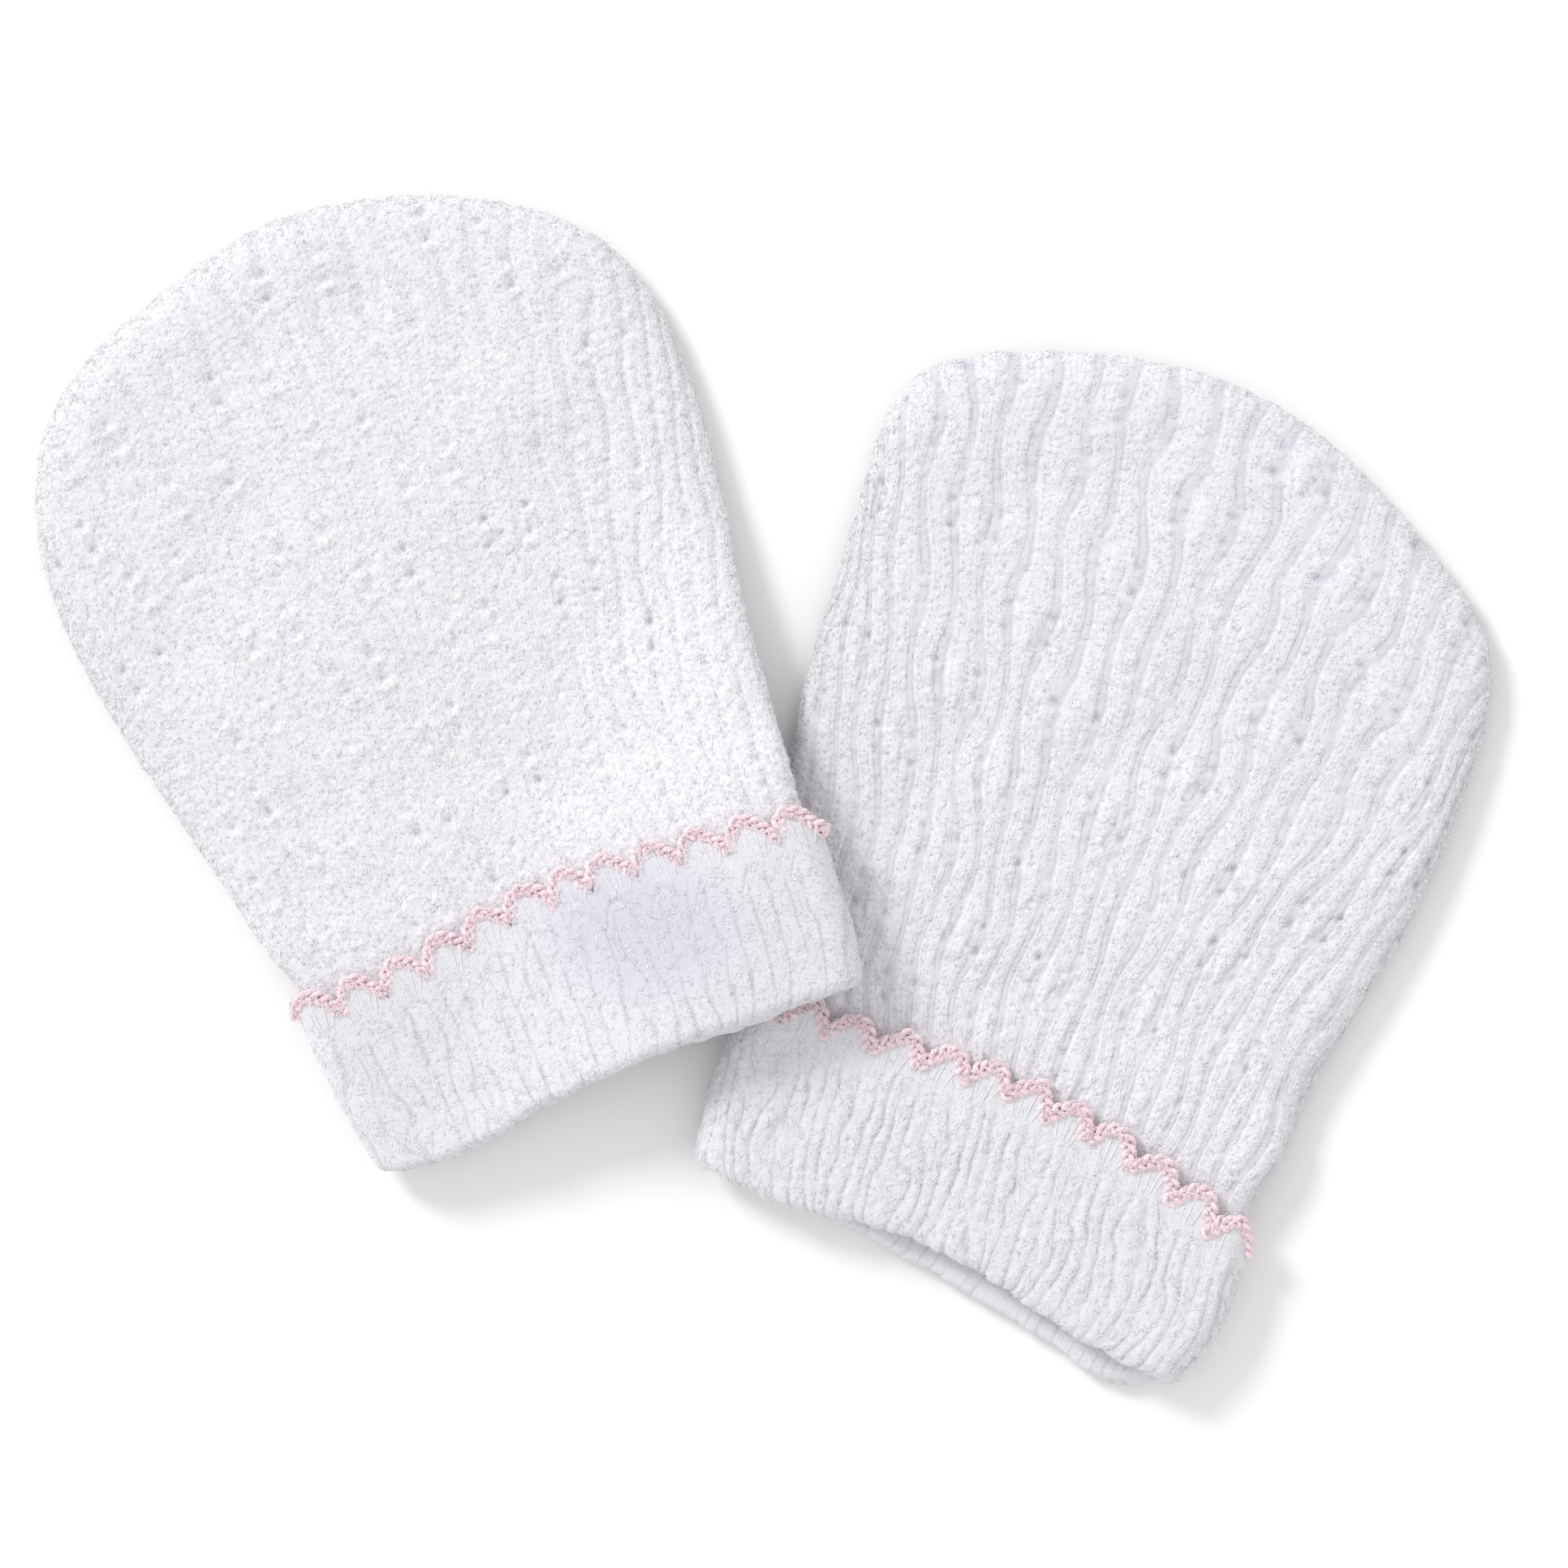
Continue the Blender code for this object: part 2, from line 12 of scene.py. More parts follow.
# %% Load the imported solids
import json
import math
from collections import namedtuple

import bmesh
import bpy
import numpy as np
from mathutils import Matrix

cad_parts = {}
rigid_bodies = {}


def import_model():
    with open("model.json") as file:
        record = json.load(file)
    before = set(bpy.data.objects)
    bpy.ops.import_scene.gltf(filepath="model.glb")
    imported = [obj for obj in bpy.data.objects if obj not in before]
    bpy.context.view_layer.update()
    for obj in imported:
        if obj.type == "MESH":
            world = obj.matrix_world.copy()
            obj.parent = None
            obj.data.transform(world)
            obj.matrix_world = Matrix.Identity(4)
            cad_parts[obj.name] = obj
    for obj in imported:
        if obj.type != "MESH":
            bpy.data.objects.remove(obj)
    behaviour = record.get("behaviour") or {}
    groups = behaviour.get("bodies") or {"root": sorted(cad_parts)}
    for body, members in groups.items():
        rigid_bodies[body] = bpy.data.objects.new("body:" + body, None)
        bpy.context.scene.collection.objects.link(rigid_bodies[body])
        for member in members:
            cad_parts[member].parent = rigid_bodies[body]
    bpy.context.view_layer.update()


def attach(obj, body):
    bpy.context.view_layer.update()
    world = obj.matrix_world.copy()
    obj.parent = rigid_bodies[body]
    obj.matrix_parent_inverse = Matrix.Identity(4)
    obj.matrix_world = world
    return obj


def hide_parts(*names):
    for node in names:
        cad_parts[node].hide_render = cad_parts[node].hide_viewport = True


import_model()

MILLIMETRE = 0.001

# %% [markdown]
# ## The camera
#
# The photo looks straight down on the table. A short lens would make the raised cuff look bigger
# than it is, so the camera stands well back with a long lens. Its height follows from how wide
# a strip of the table the photo shows.

# %% Look straight down with a long lens
PHOTO_WIDTH = 183.5
PHOTO_CENTRE = (2.43, 1.08)
SHARP_HEIGHT = 3.0
LENS = 135.0
SENSOR = 36.0


def make_camera():
    data = bpy.data.cameras.new("camera")
    data.lens = LENS
    data.sensor_width = SENSOR
    away = PHOTO_WIDTH * LENS / SENSOR
    camera = bpy.data.objects.new("camera", data)
    camera.location = [MILLIMETRE * v for v in (*PHOTO_CENTRE, SHARP_HEIGHT + away)]
    bpy.context.scene.collection.objects.link(camera)
    bpy.context.scene.camera = camera
    print("camera height in mm:", round(SHARP_HEIGHT + away))


make_camera()

# %% [markdown]
# ## The cut of the mittens
#
# A mitten is drawn with x across it, y from the fold at its mouth to its tip, and z up from the
# table. Its outline is a short table of half widths, because that is how a pattern cutter would
# note it: so wide here, so wide there, and smooth in between. The two mittens have tables of
# their own, since no two lie alike. The panels, cuffs and edgings all read the same tables,
# which keeps them fitted to each other and to the solids.

# %% Name the sizes of the cloth and of the cut
WALL = 1.2
LAYER = 1.5
BODY_HOLLOW = 1.8
CROWN = 0.5
CROWN_INSET = 26.0
CUFF_TOTAL = 6.3
BODY_TOTAL = 2 * WALL + BODY_HOLLOW
CUFF_SEAM = CUFF_TOTAL / 2
BODY_SEAM = 0.45 * BODY_TOTAL
SEAM_GAP = 0.12

CUFF_TOP = 21.5
NARROW_PAST_CUFF = 1.5
STEP_START = CUFF_TOP + 4.5
STEP_END = CUFF_TOP + 14.0
STRAIGHT_END = 45.0
SHOULDER = 74.0
BELOW_MOUTH = -12.0
CUFF_ROUND = 3.6
BODY_ROUND = 6.0
FOLD_RADIUS = (LAYER + WALL) / 2
FOLD_HOLLOW = 0.15
LEG_END = 5.5
PANEL_START = 5.8

SCALLOPS = 12
SCALLOP_HEIGHT = 3.1
SCALLOP_ROUNDNESS = 0.85

print("thickness at the cuff and at the body:", CUFF_TOTAL, BODY_TOTAL)

Section = namedtuple("Section", "along left right")
Fold = namedtuple("Fold", "share front back")
Edge = namedtuple("Edge", "share along")
Mitten = namedtuple(
    "Mitten", "name turn mouth cuff body tip folds edge arch_peak lean ribs climbs seed"
)

# %% Write down both mittens
LEFT = Mitten(
    name="left",
    turn=21.5,
    mouth=(-16.6, -32.7),
    cuff=(
        Section(along=0.0, left=30.3, right=30.2),
        Section(along=7.0, left=31.5, right=31.6),
        Section(along=14.0, left=32.3, right=32.0),
        Section(along=21.5, left=32.8, right=32.6),
    ),
    body=(
        Section(along=28.0, left=33.0, right=31.6),
        Section(along=36.0, left=34.8, right=32.4),
        Section(along=48.0, left=37.5, right=33.8),
        Section(along=60.0, left=40.0, right=36.0),
        Section(along=72.0, left=41.4, right=37.2),
        Section(along=82.0, left=40.9, right=36.9),
        Section(along=90.0, left=38.4, right=34.8),
        Section(along=96.5, left=33.9, right=29.8),
        Section(along=101.4, left=26.9, right=22.8),
        Section(along=105.0, left=17.0, right=15.2),
        Section(along=107.4, left=8.0, right=6.4),
    ),
    tip=(-1.0, 108.3),
    folds=(
        Fold(share=-1.0, front=-0.3, back=-0.3),
        Fold(share=-0.7, front=-1.3, back=-1.6),
        Fold(share=-0.3, front=0.5, back=0.0),
        Fold(share=0.2, front=1.4, back=0.7),
        Fold(share=0.6, front=0.9, back=-0.1),
        Fold(share=1.0, front=0.4, back=0.4),
    ),
    edge=(
        Edge(share=-1.0, along=20.9),
        Edge(share=-0.65, along=20.5),
        Edge(share=-0.4, along=21.5),
        Edge(share=-0.2, along=22.8),
        Edge(share=0.1, along=23.3),
        Edge(share=0.35, along=22.7),
        Edge(share=0.6, along=21.8),
        Edge(share=0.8, along=20.8),
        Edge(share=1.0, along=19.9),
    ),
    arch_peak=0.35,
    lean=0.05,
    ribs=23,
    climbs=True,
    seed=11,
)

RIGHT = Mitten(
    name="right",
    turn=-24.0,
    mouth=(20.4, -54.9),
    cuff=(
        Section(along=0.0, left=31.4, right=31.0),
        Section(along=7.0, left=33.0, right=33.0),
        Section(along=14.0, left=33.6, right=32.5),
        Section(along=21.5, left=34.4, right=31.9),
    ),
    body=(
        Section(along=28.0, left=35.6, right=31.3),
        Section(along=36.0, left=37.6, right=31.2),
        Section(along=48.0, left=40.4, right=32.6),
        Section(along=60.0, left=42.6, right=34.0),
        Section(along=72.0, left=44.0, right=33.8),
        Section(along=82.0, left=45.4, right=32.8),
        Section(along=89.0, left=46.0, right=31.2),
        Section(along=95.0, left=44.2, right=26.6),
        Section(along=99.8, left=38.4, right=18.8),
        Section(along=103.6, left=30.8, right=11.2),
        Section(along=106.6, left=22.0, right=3.4),
    ),
    tip=(-9.0, 108.4),
    folds=(
        Fold(share=-1.0, front=-0.2, back=-0.2),
        Fold(share=-0.6, front=-0.3, back=-0.5),
        Fold(share=-0.2, front=2.0, back=-0.6),
        Fold(share=0.1, front=1.8, back=-1.5),
        Fold(share=0.5, front=-0.2, back=-3.0),
        Fold(share=0.85, front=-1.2, back=-4.2),
        Fold(share=1.0, front=-1.4, back=-1.4),
    ),
    edge=(
        Edge(share=-1.0, along=19.8),
        Edge(share=-0.7, along=20.8),
        Edge(share=-0.42, along=21.6),
        Edge(share=-0.05, along=22.8),
        Edge(share=0.2, along=22.4),
        Edge(share=0.42, along=21.6),
        Edge(share=0.58, along=20.6),
        Edge(share=0.75, along=19.3),
        Edge(share=0.88, along=18.1),
        Edge(share=1.0, along=17.0),
    ),
    arch_peak=0.65,
    lean=-0.03,
    ribs=24,
    climbs=False,
    seed=23,
)
MITTENS = (LEFT, RIGHT)
SIDES = (("front", True), ("back", False))
print("mittens:", [mitten.name for mitten in MITTENS])

# %% [markdown]
# ## Reading the tables smoothly
#
# Straight lines between the rows of a table would give a mitten with corners. These helpers read
# a table along smooth cubics, turn the half widths into one seam line round the mitten, and
# measure how far any point lies from that line. The distance drives the rounding of the sides.

# %% Small helpers for smooth change
OUTLINE_POINTS = 360
POINTS_AT_ONCE = 4000


def smooth_step(start, end, at):
    """0 before start, 1 after end, turning smoothly between them."""
    share = np.clip((np.asarray(at, float) - start) / (end - start), 0.0, 1.0)
    return share * share * (3.0 - 2.0 * share)


def bell(offset, width):
    """1 in the middle, falling off to nothing a little past width."""
    return np.exp(-((offset / width) ** 2))


def edge_round(inset, radius):
    """A quarter round: 0 at the edge and 1 from radius inwards."""
    share = np.clip(inset / radius, 0.0, 1.0)
    return np.sqrt(1.0 - (1.0 - share) ** 2)


def mix(first, second, share):
    return first + (second - first) * share


def smooth_through(keys, values, at):
    """Smooth cubics through values that are given at rising keys."""
    keys = np.asarray(keys, float)
    values = np.asarray(values, float)
    slopes = np.gradient(values, keys, axis=0)
    at = np.clip(np.asarray(at, float), keys[0], keys[-1])
    i = np.clip(np.searchsorted(keys, at, side="right") - 1, 0, len(keys) - 2)
    span = keys[i + 1] - keys[i]
    share = (at - keys[i]) / span
    if values.ndim == 2:
        share = share[..., None]
        span = span[..., None]
    rest = 1.0 - share
    return (
        (1.0 + 2.0 * share) * rest**2 * values[i]
        + share * rest**2 * span * slopes[i]
        + share**2 * (3.0 - 2.0 * share) * values[i + 1]
        - share**2 * rest * span * slopes[i + 1]
    )


def table_column(rows, key, column, at):
    """A column of a table, read smoothly at any value of its key."""
    return smooth_through([getattr(r, key) for r in rows], [getattr(r, column) for r in rows], at)


# %% Turn the half widths into the seam line
def body_outline(mitten, inset):
    """The panel's seam line from the mouth's left end round the tip to its right end, moved in."""
    inside = [Section(s.along, s.left - LAYER, s.right - LAYER) for s in mitten.cuff]
    inside.append(Section(CUFF_TOP + NARROW_PAST_CUFF, inside[-1].left, inside[-1].right))
    sections = tuple(inside) + mitten.body
    left = [(-s.left, s.along) for s in sections]
    right = [(s.right, s.along) for s in reversed(sections)]
    points = np.array([(left[0][0], BELOW_MOUTH)] + left + [mitten.tip] + right
                      + [(right[-1][0], BELOW_MOUTH)])
    steps = np.concatenate([[0.0], np.cumsum(np.linalg.norm(np.diff(points, axis=0), axis=1))])
    line = smooth_through(steps, points, np.linspace(0.0, steps[-1], OUTLINE_POINTS))
    tangent = np.gradient(line, axis=0)
    tangent /= np.linalg.norm(tangent, axis=1)[:, None]
    return line + np.stack([tangent[:, 1], -tangent[:, 0]], axis=1) * inset


def nearest_on(line, points):
    """For each point in plan: how far the line is, and which way, as a unit vector."""
    start = line[:-1]
    stretch = line[1:] - start
    squares = (stretch**2).sum(axis=1)
    away = np.empty(len(points))
    towards = np.empty((len(points), 2))
    for part in np.array_split(np.arange(len(points)), len(points) // POINTS_AT_ONCE + 1):
        to = points[part, None, :] - start
        share = np.clip((to * stretch).sum(axis=2) / squares, 0.0, 1.0)
        off = to - share[..., None] * stretch
        far = np.hypot(off[..., 0], off[..., 1])
        best = far.argmin(axis=1)
        row = np.arange(len(part))
        away[part] = far[row, best]
        towards[part] = -off[row, best] / np.maximum(far[row, best], 1e-6)[:, None]
    return away, towards


def side_at(line, along, rising):
    """The x of an outline's rising or falling side at a length along the mitten."""
    tip = int(np.argmax(line[:, 1]))
    side = line[: tip + 1] if rising else line[tip:][::-1]
    return np.interp(along, side[:, 1], side[:, 0])


def dome_line(line, shares, lean):
    """Points over the dome of an outline, from its left shoulder to its right one."""
    over = line[line[:, 1] >= SHOULDER]
    dome = np.vstack([
        (side_at(line, SHOULDER, True), SHOULDER),
        over,
        (side_at(line, SHOULDER, False), SHOULDER),
    ])
    steps = np.concatenate([[0.0], np.cumsum(np.linalg.norm(np.diff(dome, axis=0), axis=1))])
    at = (shares + lean * 4.0 * shares * (1.0 - shares)) * steps[-1]
    return np.stack([np.interp(at, steps, dome[:, k]) for k in (0, 1)], axis=1)


for mitten in MITTENS:
    seam = body_outline(mitten, 0.0)
    print(mitten.name, "widest:", round(float(np.ptp(seam[:, 0])), 1), "mm")

# %% [markdown]
# ## From the mitten's frame to the pair's
#
# The left mitten's corner lies on the right mitten, so its cloth climbs as it nears the edge
# beneath it. Lifting the finished points is simpler than bending the cut: every piece of the
# mitten goes through the same function and stays joined to the others.

# %% Place points in the pair
CLIMB = CUFF_TOTAL + 0.7
CLIMB_RUN = 30.0
CLIMB_OVER = 2.0
CLIMB_FADE_START = 47.0
CLIMB_FADE_END = 84.0
LEDGE_FOOT = (-34.0, 0.0)
LEDGE_TOP = (-41.0, 52.0)
PAIR_MIDDLE = (-0.15, 0.63)


def climb(points):
    """How far the upper mitten is lifted by the lower one beneath it."""
    turn = math.radians(RIGHT.turn)
    from_x = points[:, 0] - RIGHT.mouth[0]
    from_y = points[:, 1] - RIGHT.mouth[1]
    x = from_x * math.cos(turn) + from_y * math.sin(turn)
    y = from_y * math.cos(turn) - from_x * math.sin(turn)
    run = np.subtract(LEDGE_TOP, LEDGE_FOOT)
    run /= np.linalg.norm(run)
    inside = (x - LEDGE_FOOT[0]) * run[1] - (y - LEDGE_FOOT[1]) * run[0]
    still_beneath = 1.0 - smooth_step(CLIMB_FADE_START, CLIMB_FADE_END, y)
    return CLIMB * smooth_step(-CLIMB_RUN, CLIMB_OVER, inside) * still_beneath


def placed(mitten, points):
    """Turns points from the mitten's own frame into the pair's, in metres."""
    turn = math.radians(mitten.turn)
    x = points[:, 0] * math.cos(turn) - points[:, 1] * math.sin(turn) + mitten.mouth[0]
    y = points[:, 0] * math.sin(turn) + points[:, 1] * math.cos(turn) + mitten.mouth[1]
    there = np.stack([x, y, points[:, 2]], axis=1)
    if mitten.climbs:
        there[:, 2] += climb(there)
    there[:, :2] -= PAIR_MIDDLE
    return there * MILLIMETRE


# %% [markdown]
# ## A panel as a fine grid
#
# Ribs on a real mitten run with the panel: up its sides, and fanning a little into the dome. So
# the panel is a grid whose columns are the ribs' own lines. Below the dome its rows are straight.
# Above, a patch is stretched between the last straight row, the two sides and the dome's edge.
# Columns and rows crowd together where the cloth rounds over to the seam, which keeps the
# rounding smooth without spending faces on the flat middle.

# %% Lay out the grid of a panel
Mesh = namedtuple("Mesh", "across along")
FINE = Mesh(across=0.28, along=0.285)
MEDIUM = Mesh(across=0.62, along=0.62)
COARSE = Mesh(across=1.7, along=2.0)
REFERENCE_WIDTH = 77.0
DOME = 108.0 - STRAIGHT_END
HIDDEN_ROWS = 5
UNDER_CUFF = 2.5
FEWEST_TURNS = 4


def crowded_shares(width, rounding, step):
    """Shares from 0 to 1 across a width, closer together over the rounded sides."""
    turns = np.linspace(0.0, math.pi / 2.0, max(FEWEST_TURNS, round(rounding / step)) + 1)
    side = rounding / width * (1.0 - np.cos(turns))
    middle = np.linspace(side[-1], 1.0 - side[-1], round((width - 2 * rounding) / step) + 1)
    return np.concatenate([side[:-1], middle, 1.0 - side[-2::-1]])


def row_places(step):
    """Lengths along the straight part, and shares of the way up the dome."""
    shows_from = CUFF_TOP - UNDER_CUFF
    low = np.linspace(PANEL_START, shows_from, HIDDEN_ROWS + 1)[:-1]
    straight = np.linspace(shows_from, STRAIGHT_END, round((STRAIGHT_END - shows_from) / step) + 1)
    turns = np.linspace(0.0, math.pi / 2.0, max(FEWEST_TURNS, round(BODY_ROUND / step)) + 1)
    edge = 1.0 - BODY_ROUND / DOME * (1.0 - np.cos(turns[::-1]))
    dome = np.linspace(0.0, edge[0], round((DOME - BODY_ROUND) / step) + 1)[1:]
    return np.concatenate([low, straight]), np.concatenate([dome, edge[1:]])


print("rows of a front panel:", sum(len(part) for part in row_places(FINE.along)))


def panel_plan(mitten, inset, shares, low_rows, dome_rows):
    """A panel's points in plan, row by row from inside the cuff to the dome."""
    line = body_outline(mitten, inset)
    rows = []
    for along in low_rows:
        x = mix(side_at(line, along, True), side_at(line, along, False), shares)
        rows.append(np.stack([x, np.full_like(x, along)], axis=1))
    bottom = rows[-1]
    top = dome_line(line, shares, mitten.lean)
    u = shares[:, None]
    for share in dome_rows:
        along = mix(STRAIGHT_END, SHOULDER, share)
        left = np.array([side_at(line, along, True), along])
        right = np.array([side_at(line, along, False), along])
        corners = mix(mix(bottom[0], bottom[-1], u), mix(top[0], top[-1], u), share)
        rows.append(mix(bottom, top, share) + mix(left, right, u) - corners)
    return np.array(rows)


# %% [markdown]
# ## How high the cloth lies
#
# Inside the cuff the panel is lifted by the cuff's layer, and past it comes down to the table.
# The sides round over like a pillow's edge. On top come slow waves, since knitted cotton never
# lies quite flat: a few long swells and a soft unevenness of a centimetre or two.

# %% Make gentle unevenness that is the same on every run
WAVE_HEIGHT = 0.22
WAVE_ACROSS = 9.0
WAVE_ALONG = 12.0
UNEVEN_HEIGHT = 0.22
UNEVEN_ACROSS = 8.0
UNEVEN_ALONG = 10.0
HILLS = 97


def soft_hills(x, y, seed):
    """Smooth random hills from -1 to 1, about one to a unit each way."""
    heights = np.random.default_rng(seed).uniform(-1.0, 1.0, (HILLS, HILLS))
    i = np.floor(x).astype(int)
    j = np.floor(y).astype(int)
    u = smooth_step(0.0, 1.0, x - i)
    v = smooth_step(0.0, 1.0, y - j)
    a = heights[i % HILLS, j % HILLS]
    b = heights[(i + 1) % HILLS, j % HILLS]
    c = heights[i % HILLS, (j + 1) % HILLS]
    d = heights[(i + 1) % HILLS, (j + 1) % HILLS]
    return mix(mix(a, b, u), mix(c, d, u), v)


# %% Press the listed creases: where each starts and ends, how wide and how deep
Crease = namedtuple("Crease", "x1 y1 x2 y2 width depth")
CREASE_SWING = 1.2
CREASE_FADE = 5.0
CREASES = {
    "left": (
        Crease(x1=-26, y1=44, x2=-8, y2=40, width=4.0, depth=0.35),
        Crease(x1=-30, y1=66, x2=-17, y2=78, width=4.5, depth=0.40),
        Crease(x1=4, y1=70, x2=20, y2=78, width=5.0, depth=-0.30),
        Crease(x1=10, y1=36, x2=25, y2=33, width=3.5, depth=0.30),
        Crease(x1=-12, y1=92, x2=4, y2=97, width=4.0, depth=0.35),
    ),
    "right": (
        Crease(x1=-30, y1=38, x2=-22, y2=58, width=3.5, depth=0.40),
        Crease(x1=-8, y1=62, x2=4, y2=74, width=5.0, depth=0.35),
        Crease(x1=12, y1=48, x2=22, y2=60, width=4.0, depth=-0.30),
        Crease(x1=-30, y1=84, x2=-18, y2=95, width=4.5, depth=0.40),
        Crease(x1=-4, y1=34, x2=12, y2=30, width=3.5, depth=0.30),
    ),
}


def creased(mitten, x, y):
    """How far creases push the cloth down here, uneven along each of them."""
    down = np.zeros_like(x)
    for number, crease in enumerate(CREASES[mitten.name]):
        run = np.array([crease.x2 - crease.x1, crease.y2 - crease.y1], float)
        length = np.linalg.norm(run)
        run /= length
        at = (x - crease.x1) * run[0] + (y - crease.y1) * run[1]
        off = (y - crease.y1) * run[0] - (x - crease.x1) * run[1]
        off += CREASE_SWING * np.sin(at / 4.0 + number)
        beyond = np.maximum(np.maximum(-at, at - length), 0.0)
        depth = crease.depth * (1.0 + 0.3 * np.sin(at / 2.7 + 2.0 * number))
        down += depth * bell(off, crease.width) * bell(beyond, CREASE_FADE)
    return down


print("creases:", {name: len(creases) for name, creases in CREASES.items()})


# %% Work out the height of a panel's wall
def panel_step(along):
    """0 where the panel lies inside the cuff, 1 where it has come down to the body's height."""
    return smooth_step(STEP_START, STEP_END, along)


def panel_height(mitten, inset, front, x, y, to_edge):
    """The height of a panel's wall, inset from its outer face, at points in plan."""
    step = panel_step(y)
    seam = mix(CUFF_SEAM, BODY_SEAM, step) + (SEAM_GAP / 2 if front else -SEAM_GAP / 2)
    rounded = edge_round(to_edge, mix(CUFF_ROUND - LAYER, BODY_ROUND, step) - inset)
    if not front:
        return mix(seam, mix(LAYER, 0.0, step) + inset, rounded)
    wave = WAVE_HEIGHT * np.sin(x / WAVE_ACROSS + 1.0) * np.cos(y / WAVE_ALONG)
    hills = soft_hills(x / UNEVEN_ACROSS + 40, y / UNEVEN_ALONG + 40, mitten.seed)
    wave = wave + UNEVEN_HEIGHT * hills
    wave = wave - creased(mitten, x, y)
    raised = step * (CROWN * smooth_step(0.0, CROWN_INSET, to_edge) + wave)
    return mix(seam, mix(CUFF_TOTAL - LAYER, BODY_TOTAL, step) - inset + raised, rounded)


# %% Shape one face of a panel, with the way its cloth faces
Face = namedtuple("Face", "points normal to_edge rib along")


def panel_face(mitten, inset, front, mesh):
    shares = crowded_shares(REFERENCE_WIDTH, BODY_ROUND - inset, mesh.across)
    plan = panel_plan(mitten, inset, shares, *row_places(mesh.along))
    rows, columns = plan.shape[:2]
    line = body_outline(mitten, inset)
    away, towards = nearest_on(line, plan.reshape(-1, 2))
    to_edge = away.reshape(rows, columns)
    to_edge[:, 0] = to_edge[:, -1] = to_edge[-1, :] = 0.0
    x = plan[..., 0]
    y = plan[..., 1]
    z = panel_height(mitten, inset, front, x, y, to_edge)
    radius = mix(CUFF_ROUND - LAYER, BODY_ROUND, panel_step(y)) - inset
    share = np.clip(to_edge / radius, 0.0, 1.0)
    rise = abs((BODY_TOTAL if front else 0.0) - BODY_SEAM)
    side = ((1.0 - share) / radius)[..., None] * towards.reshape(rows, columns, 2)
    up = (edge_round(to_edge, radius) + 1e-3) / rise * (1.0 if front else -1.0)
    side[:, 0] = side[:, 1]
    side[:, -1] = side[:, -2]
    side[-1] = side[-2]
    normal = np.concatenate([side, up[..., None]], axis=2)
    normal /= np.linalg.norm(normal, axis=2)[..., None]
    steps = np.linalg.norm(np.diff(plan, axis=0), axis=2)
    along = PANEL_START + np.vstack([np.zeros(columns), np.cumsum(steps, axis=0)])
    rib = np.broadcast_to(shares * mitten.ribs, (rows, columns))
    return Face(np.stack([x, y, z], axis=2), normal, to_edge, rib, along)


# %% [markdown]
# ## Knitting the surface
#
# The fabric is a rib with small leaf motifs. Each rib is a bright band of curly stitches, and in
# the groove between two ribs lies a thin smooth cord. In a half drop all over the panel, a stretch
# of every second rib swells to a smooth leaf that tapers towards the mouth, with an eyelet at each
# of its four corners and a little knot of yarn beside it. The cords bow apart round the leaf. The
# bowing is a product of two waves, one across and one along, so that a groove sways first one
# way and then the other. The same rule is worked out at every grid point, from the point's
# place in the knit: its rib number and its length along the rib.
#
# The lower mitten lies with its ribs standing up. The upper one is stretched flatter, so its ribs
# nearly go and its knots, eyelets and single stitches show instead. A table with a row for each
# mitten says how strong every effect is.

# %% Say how strongly each effect shows
Knit = namedtuple("Knit", "rib side_rib cord sway leaf knot eyelet crumb wander")
KNITS = {
    "left": Knit(rib=0.09, side_rib=0.20, cord=0.04, sway=0.35, leaf=0.14, knot=0.26, eyelet=0.48,
                 crumb=0.11, wander=0.20),
    "right": Knit(rib=0.28, side_rib=0.0, cord=0.19, sway=0.52, leaf=0.34, knot=0.20, eyelet=0.48,
                  crumb=0.12, wander=0.20),
}
RIB_PITCH = 3.1
CORD_HALF_WIDTH = 0.36
COURSE = 0.86
WALES_PER_RIB = 3
REPEAT_RIBS = 4
REPEAT_ALONG = 18.6
EYELET_ACROSS = 2.2
EYELET_ALONG = 1.55
EYELET_RADIUS = 0.46
LEAF_HALF_WIDTH = 1.6
LEAF_LENGTH = 5.4
LEAF_START = -3.2
LEAF_DRIFT_ACROSS = 0.5
LEAF_DRIFT_ALONG = 1.6
LEAF_WEAKEST = 0.65
LEAF_RANGE = 0.7
LUCK_SIZE = 64
SWAY_UNEVEN = 0.35
SWAY_SQUARE = 0.7
RIBS_START = CUFF_TOP - 1.0


def lattice(rib, along, seed):
    """Where a point lies from the nearest leaf: across and along it in mm, and its strength."""
    from_middle = (rib - 0.5) / REPEAT_RIBS * 2.0
    column = np.floor(from_middle + 0.5)
    turns = along / REPEAT_ALONG + column / 2.0
    row = np.floor(turns + 0.5)
    across = (from_middle - column) * REPEAT_RIBS / 2.0 * RIB_PITCH
    lengthways = (turns - row) * REPEAT_ALONG
    chance = np.random.default_rng(seed).uniform(0.0, 1.0, (LUCK_SIZE, LUCK_SIZE, 3))
    luck = chance[column.astype(int) % LUCK_SIZE, row.astype(int) % LUCK_SIZE]
    across = across - LEAF_DRIFT_ACROSS * (luck[..., 0] - 0.5)
    lengthways = lengthways - LEAF_DRIFT_ALONG * (luck[..., 1] - 0.5)
    return across, lengthways, LEAF_WEAKEST + LEAF_RANGE * luck[..., 2]


def swayed(knit, rib, along, seed):
    """The rib number after the grooves have bowed apart round the leaves."""
    uneven = 1.0 + SWAY_UNEVEN * soft_hills(rib / 3.0 + 51, along / 14.0 + 51, seed)
    across_wave = np.sin(2.0 * math.pi * (rib - 0.5) / REPEAT_RIBS)
    along_wave = np.cos(2.0 * math.pi * along / REPEAT_ALONG)
    along_wave = np.sign(along_wave) * np.abs(along_wave) ** SWAY_SQUARE
    return rib - knit.sway / RIB_PITCH * uneven * across_wave * along_wave


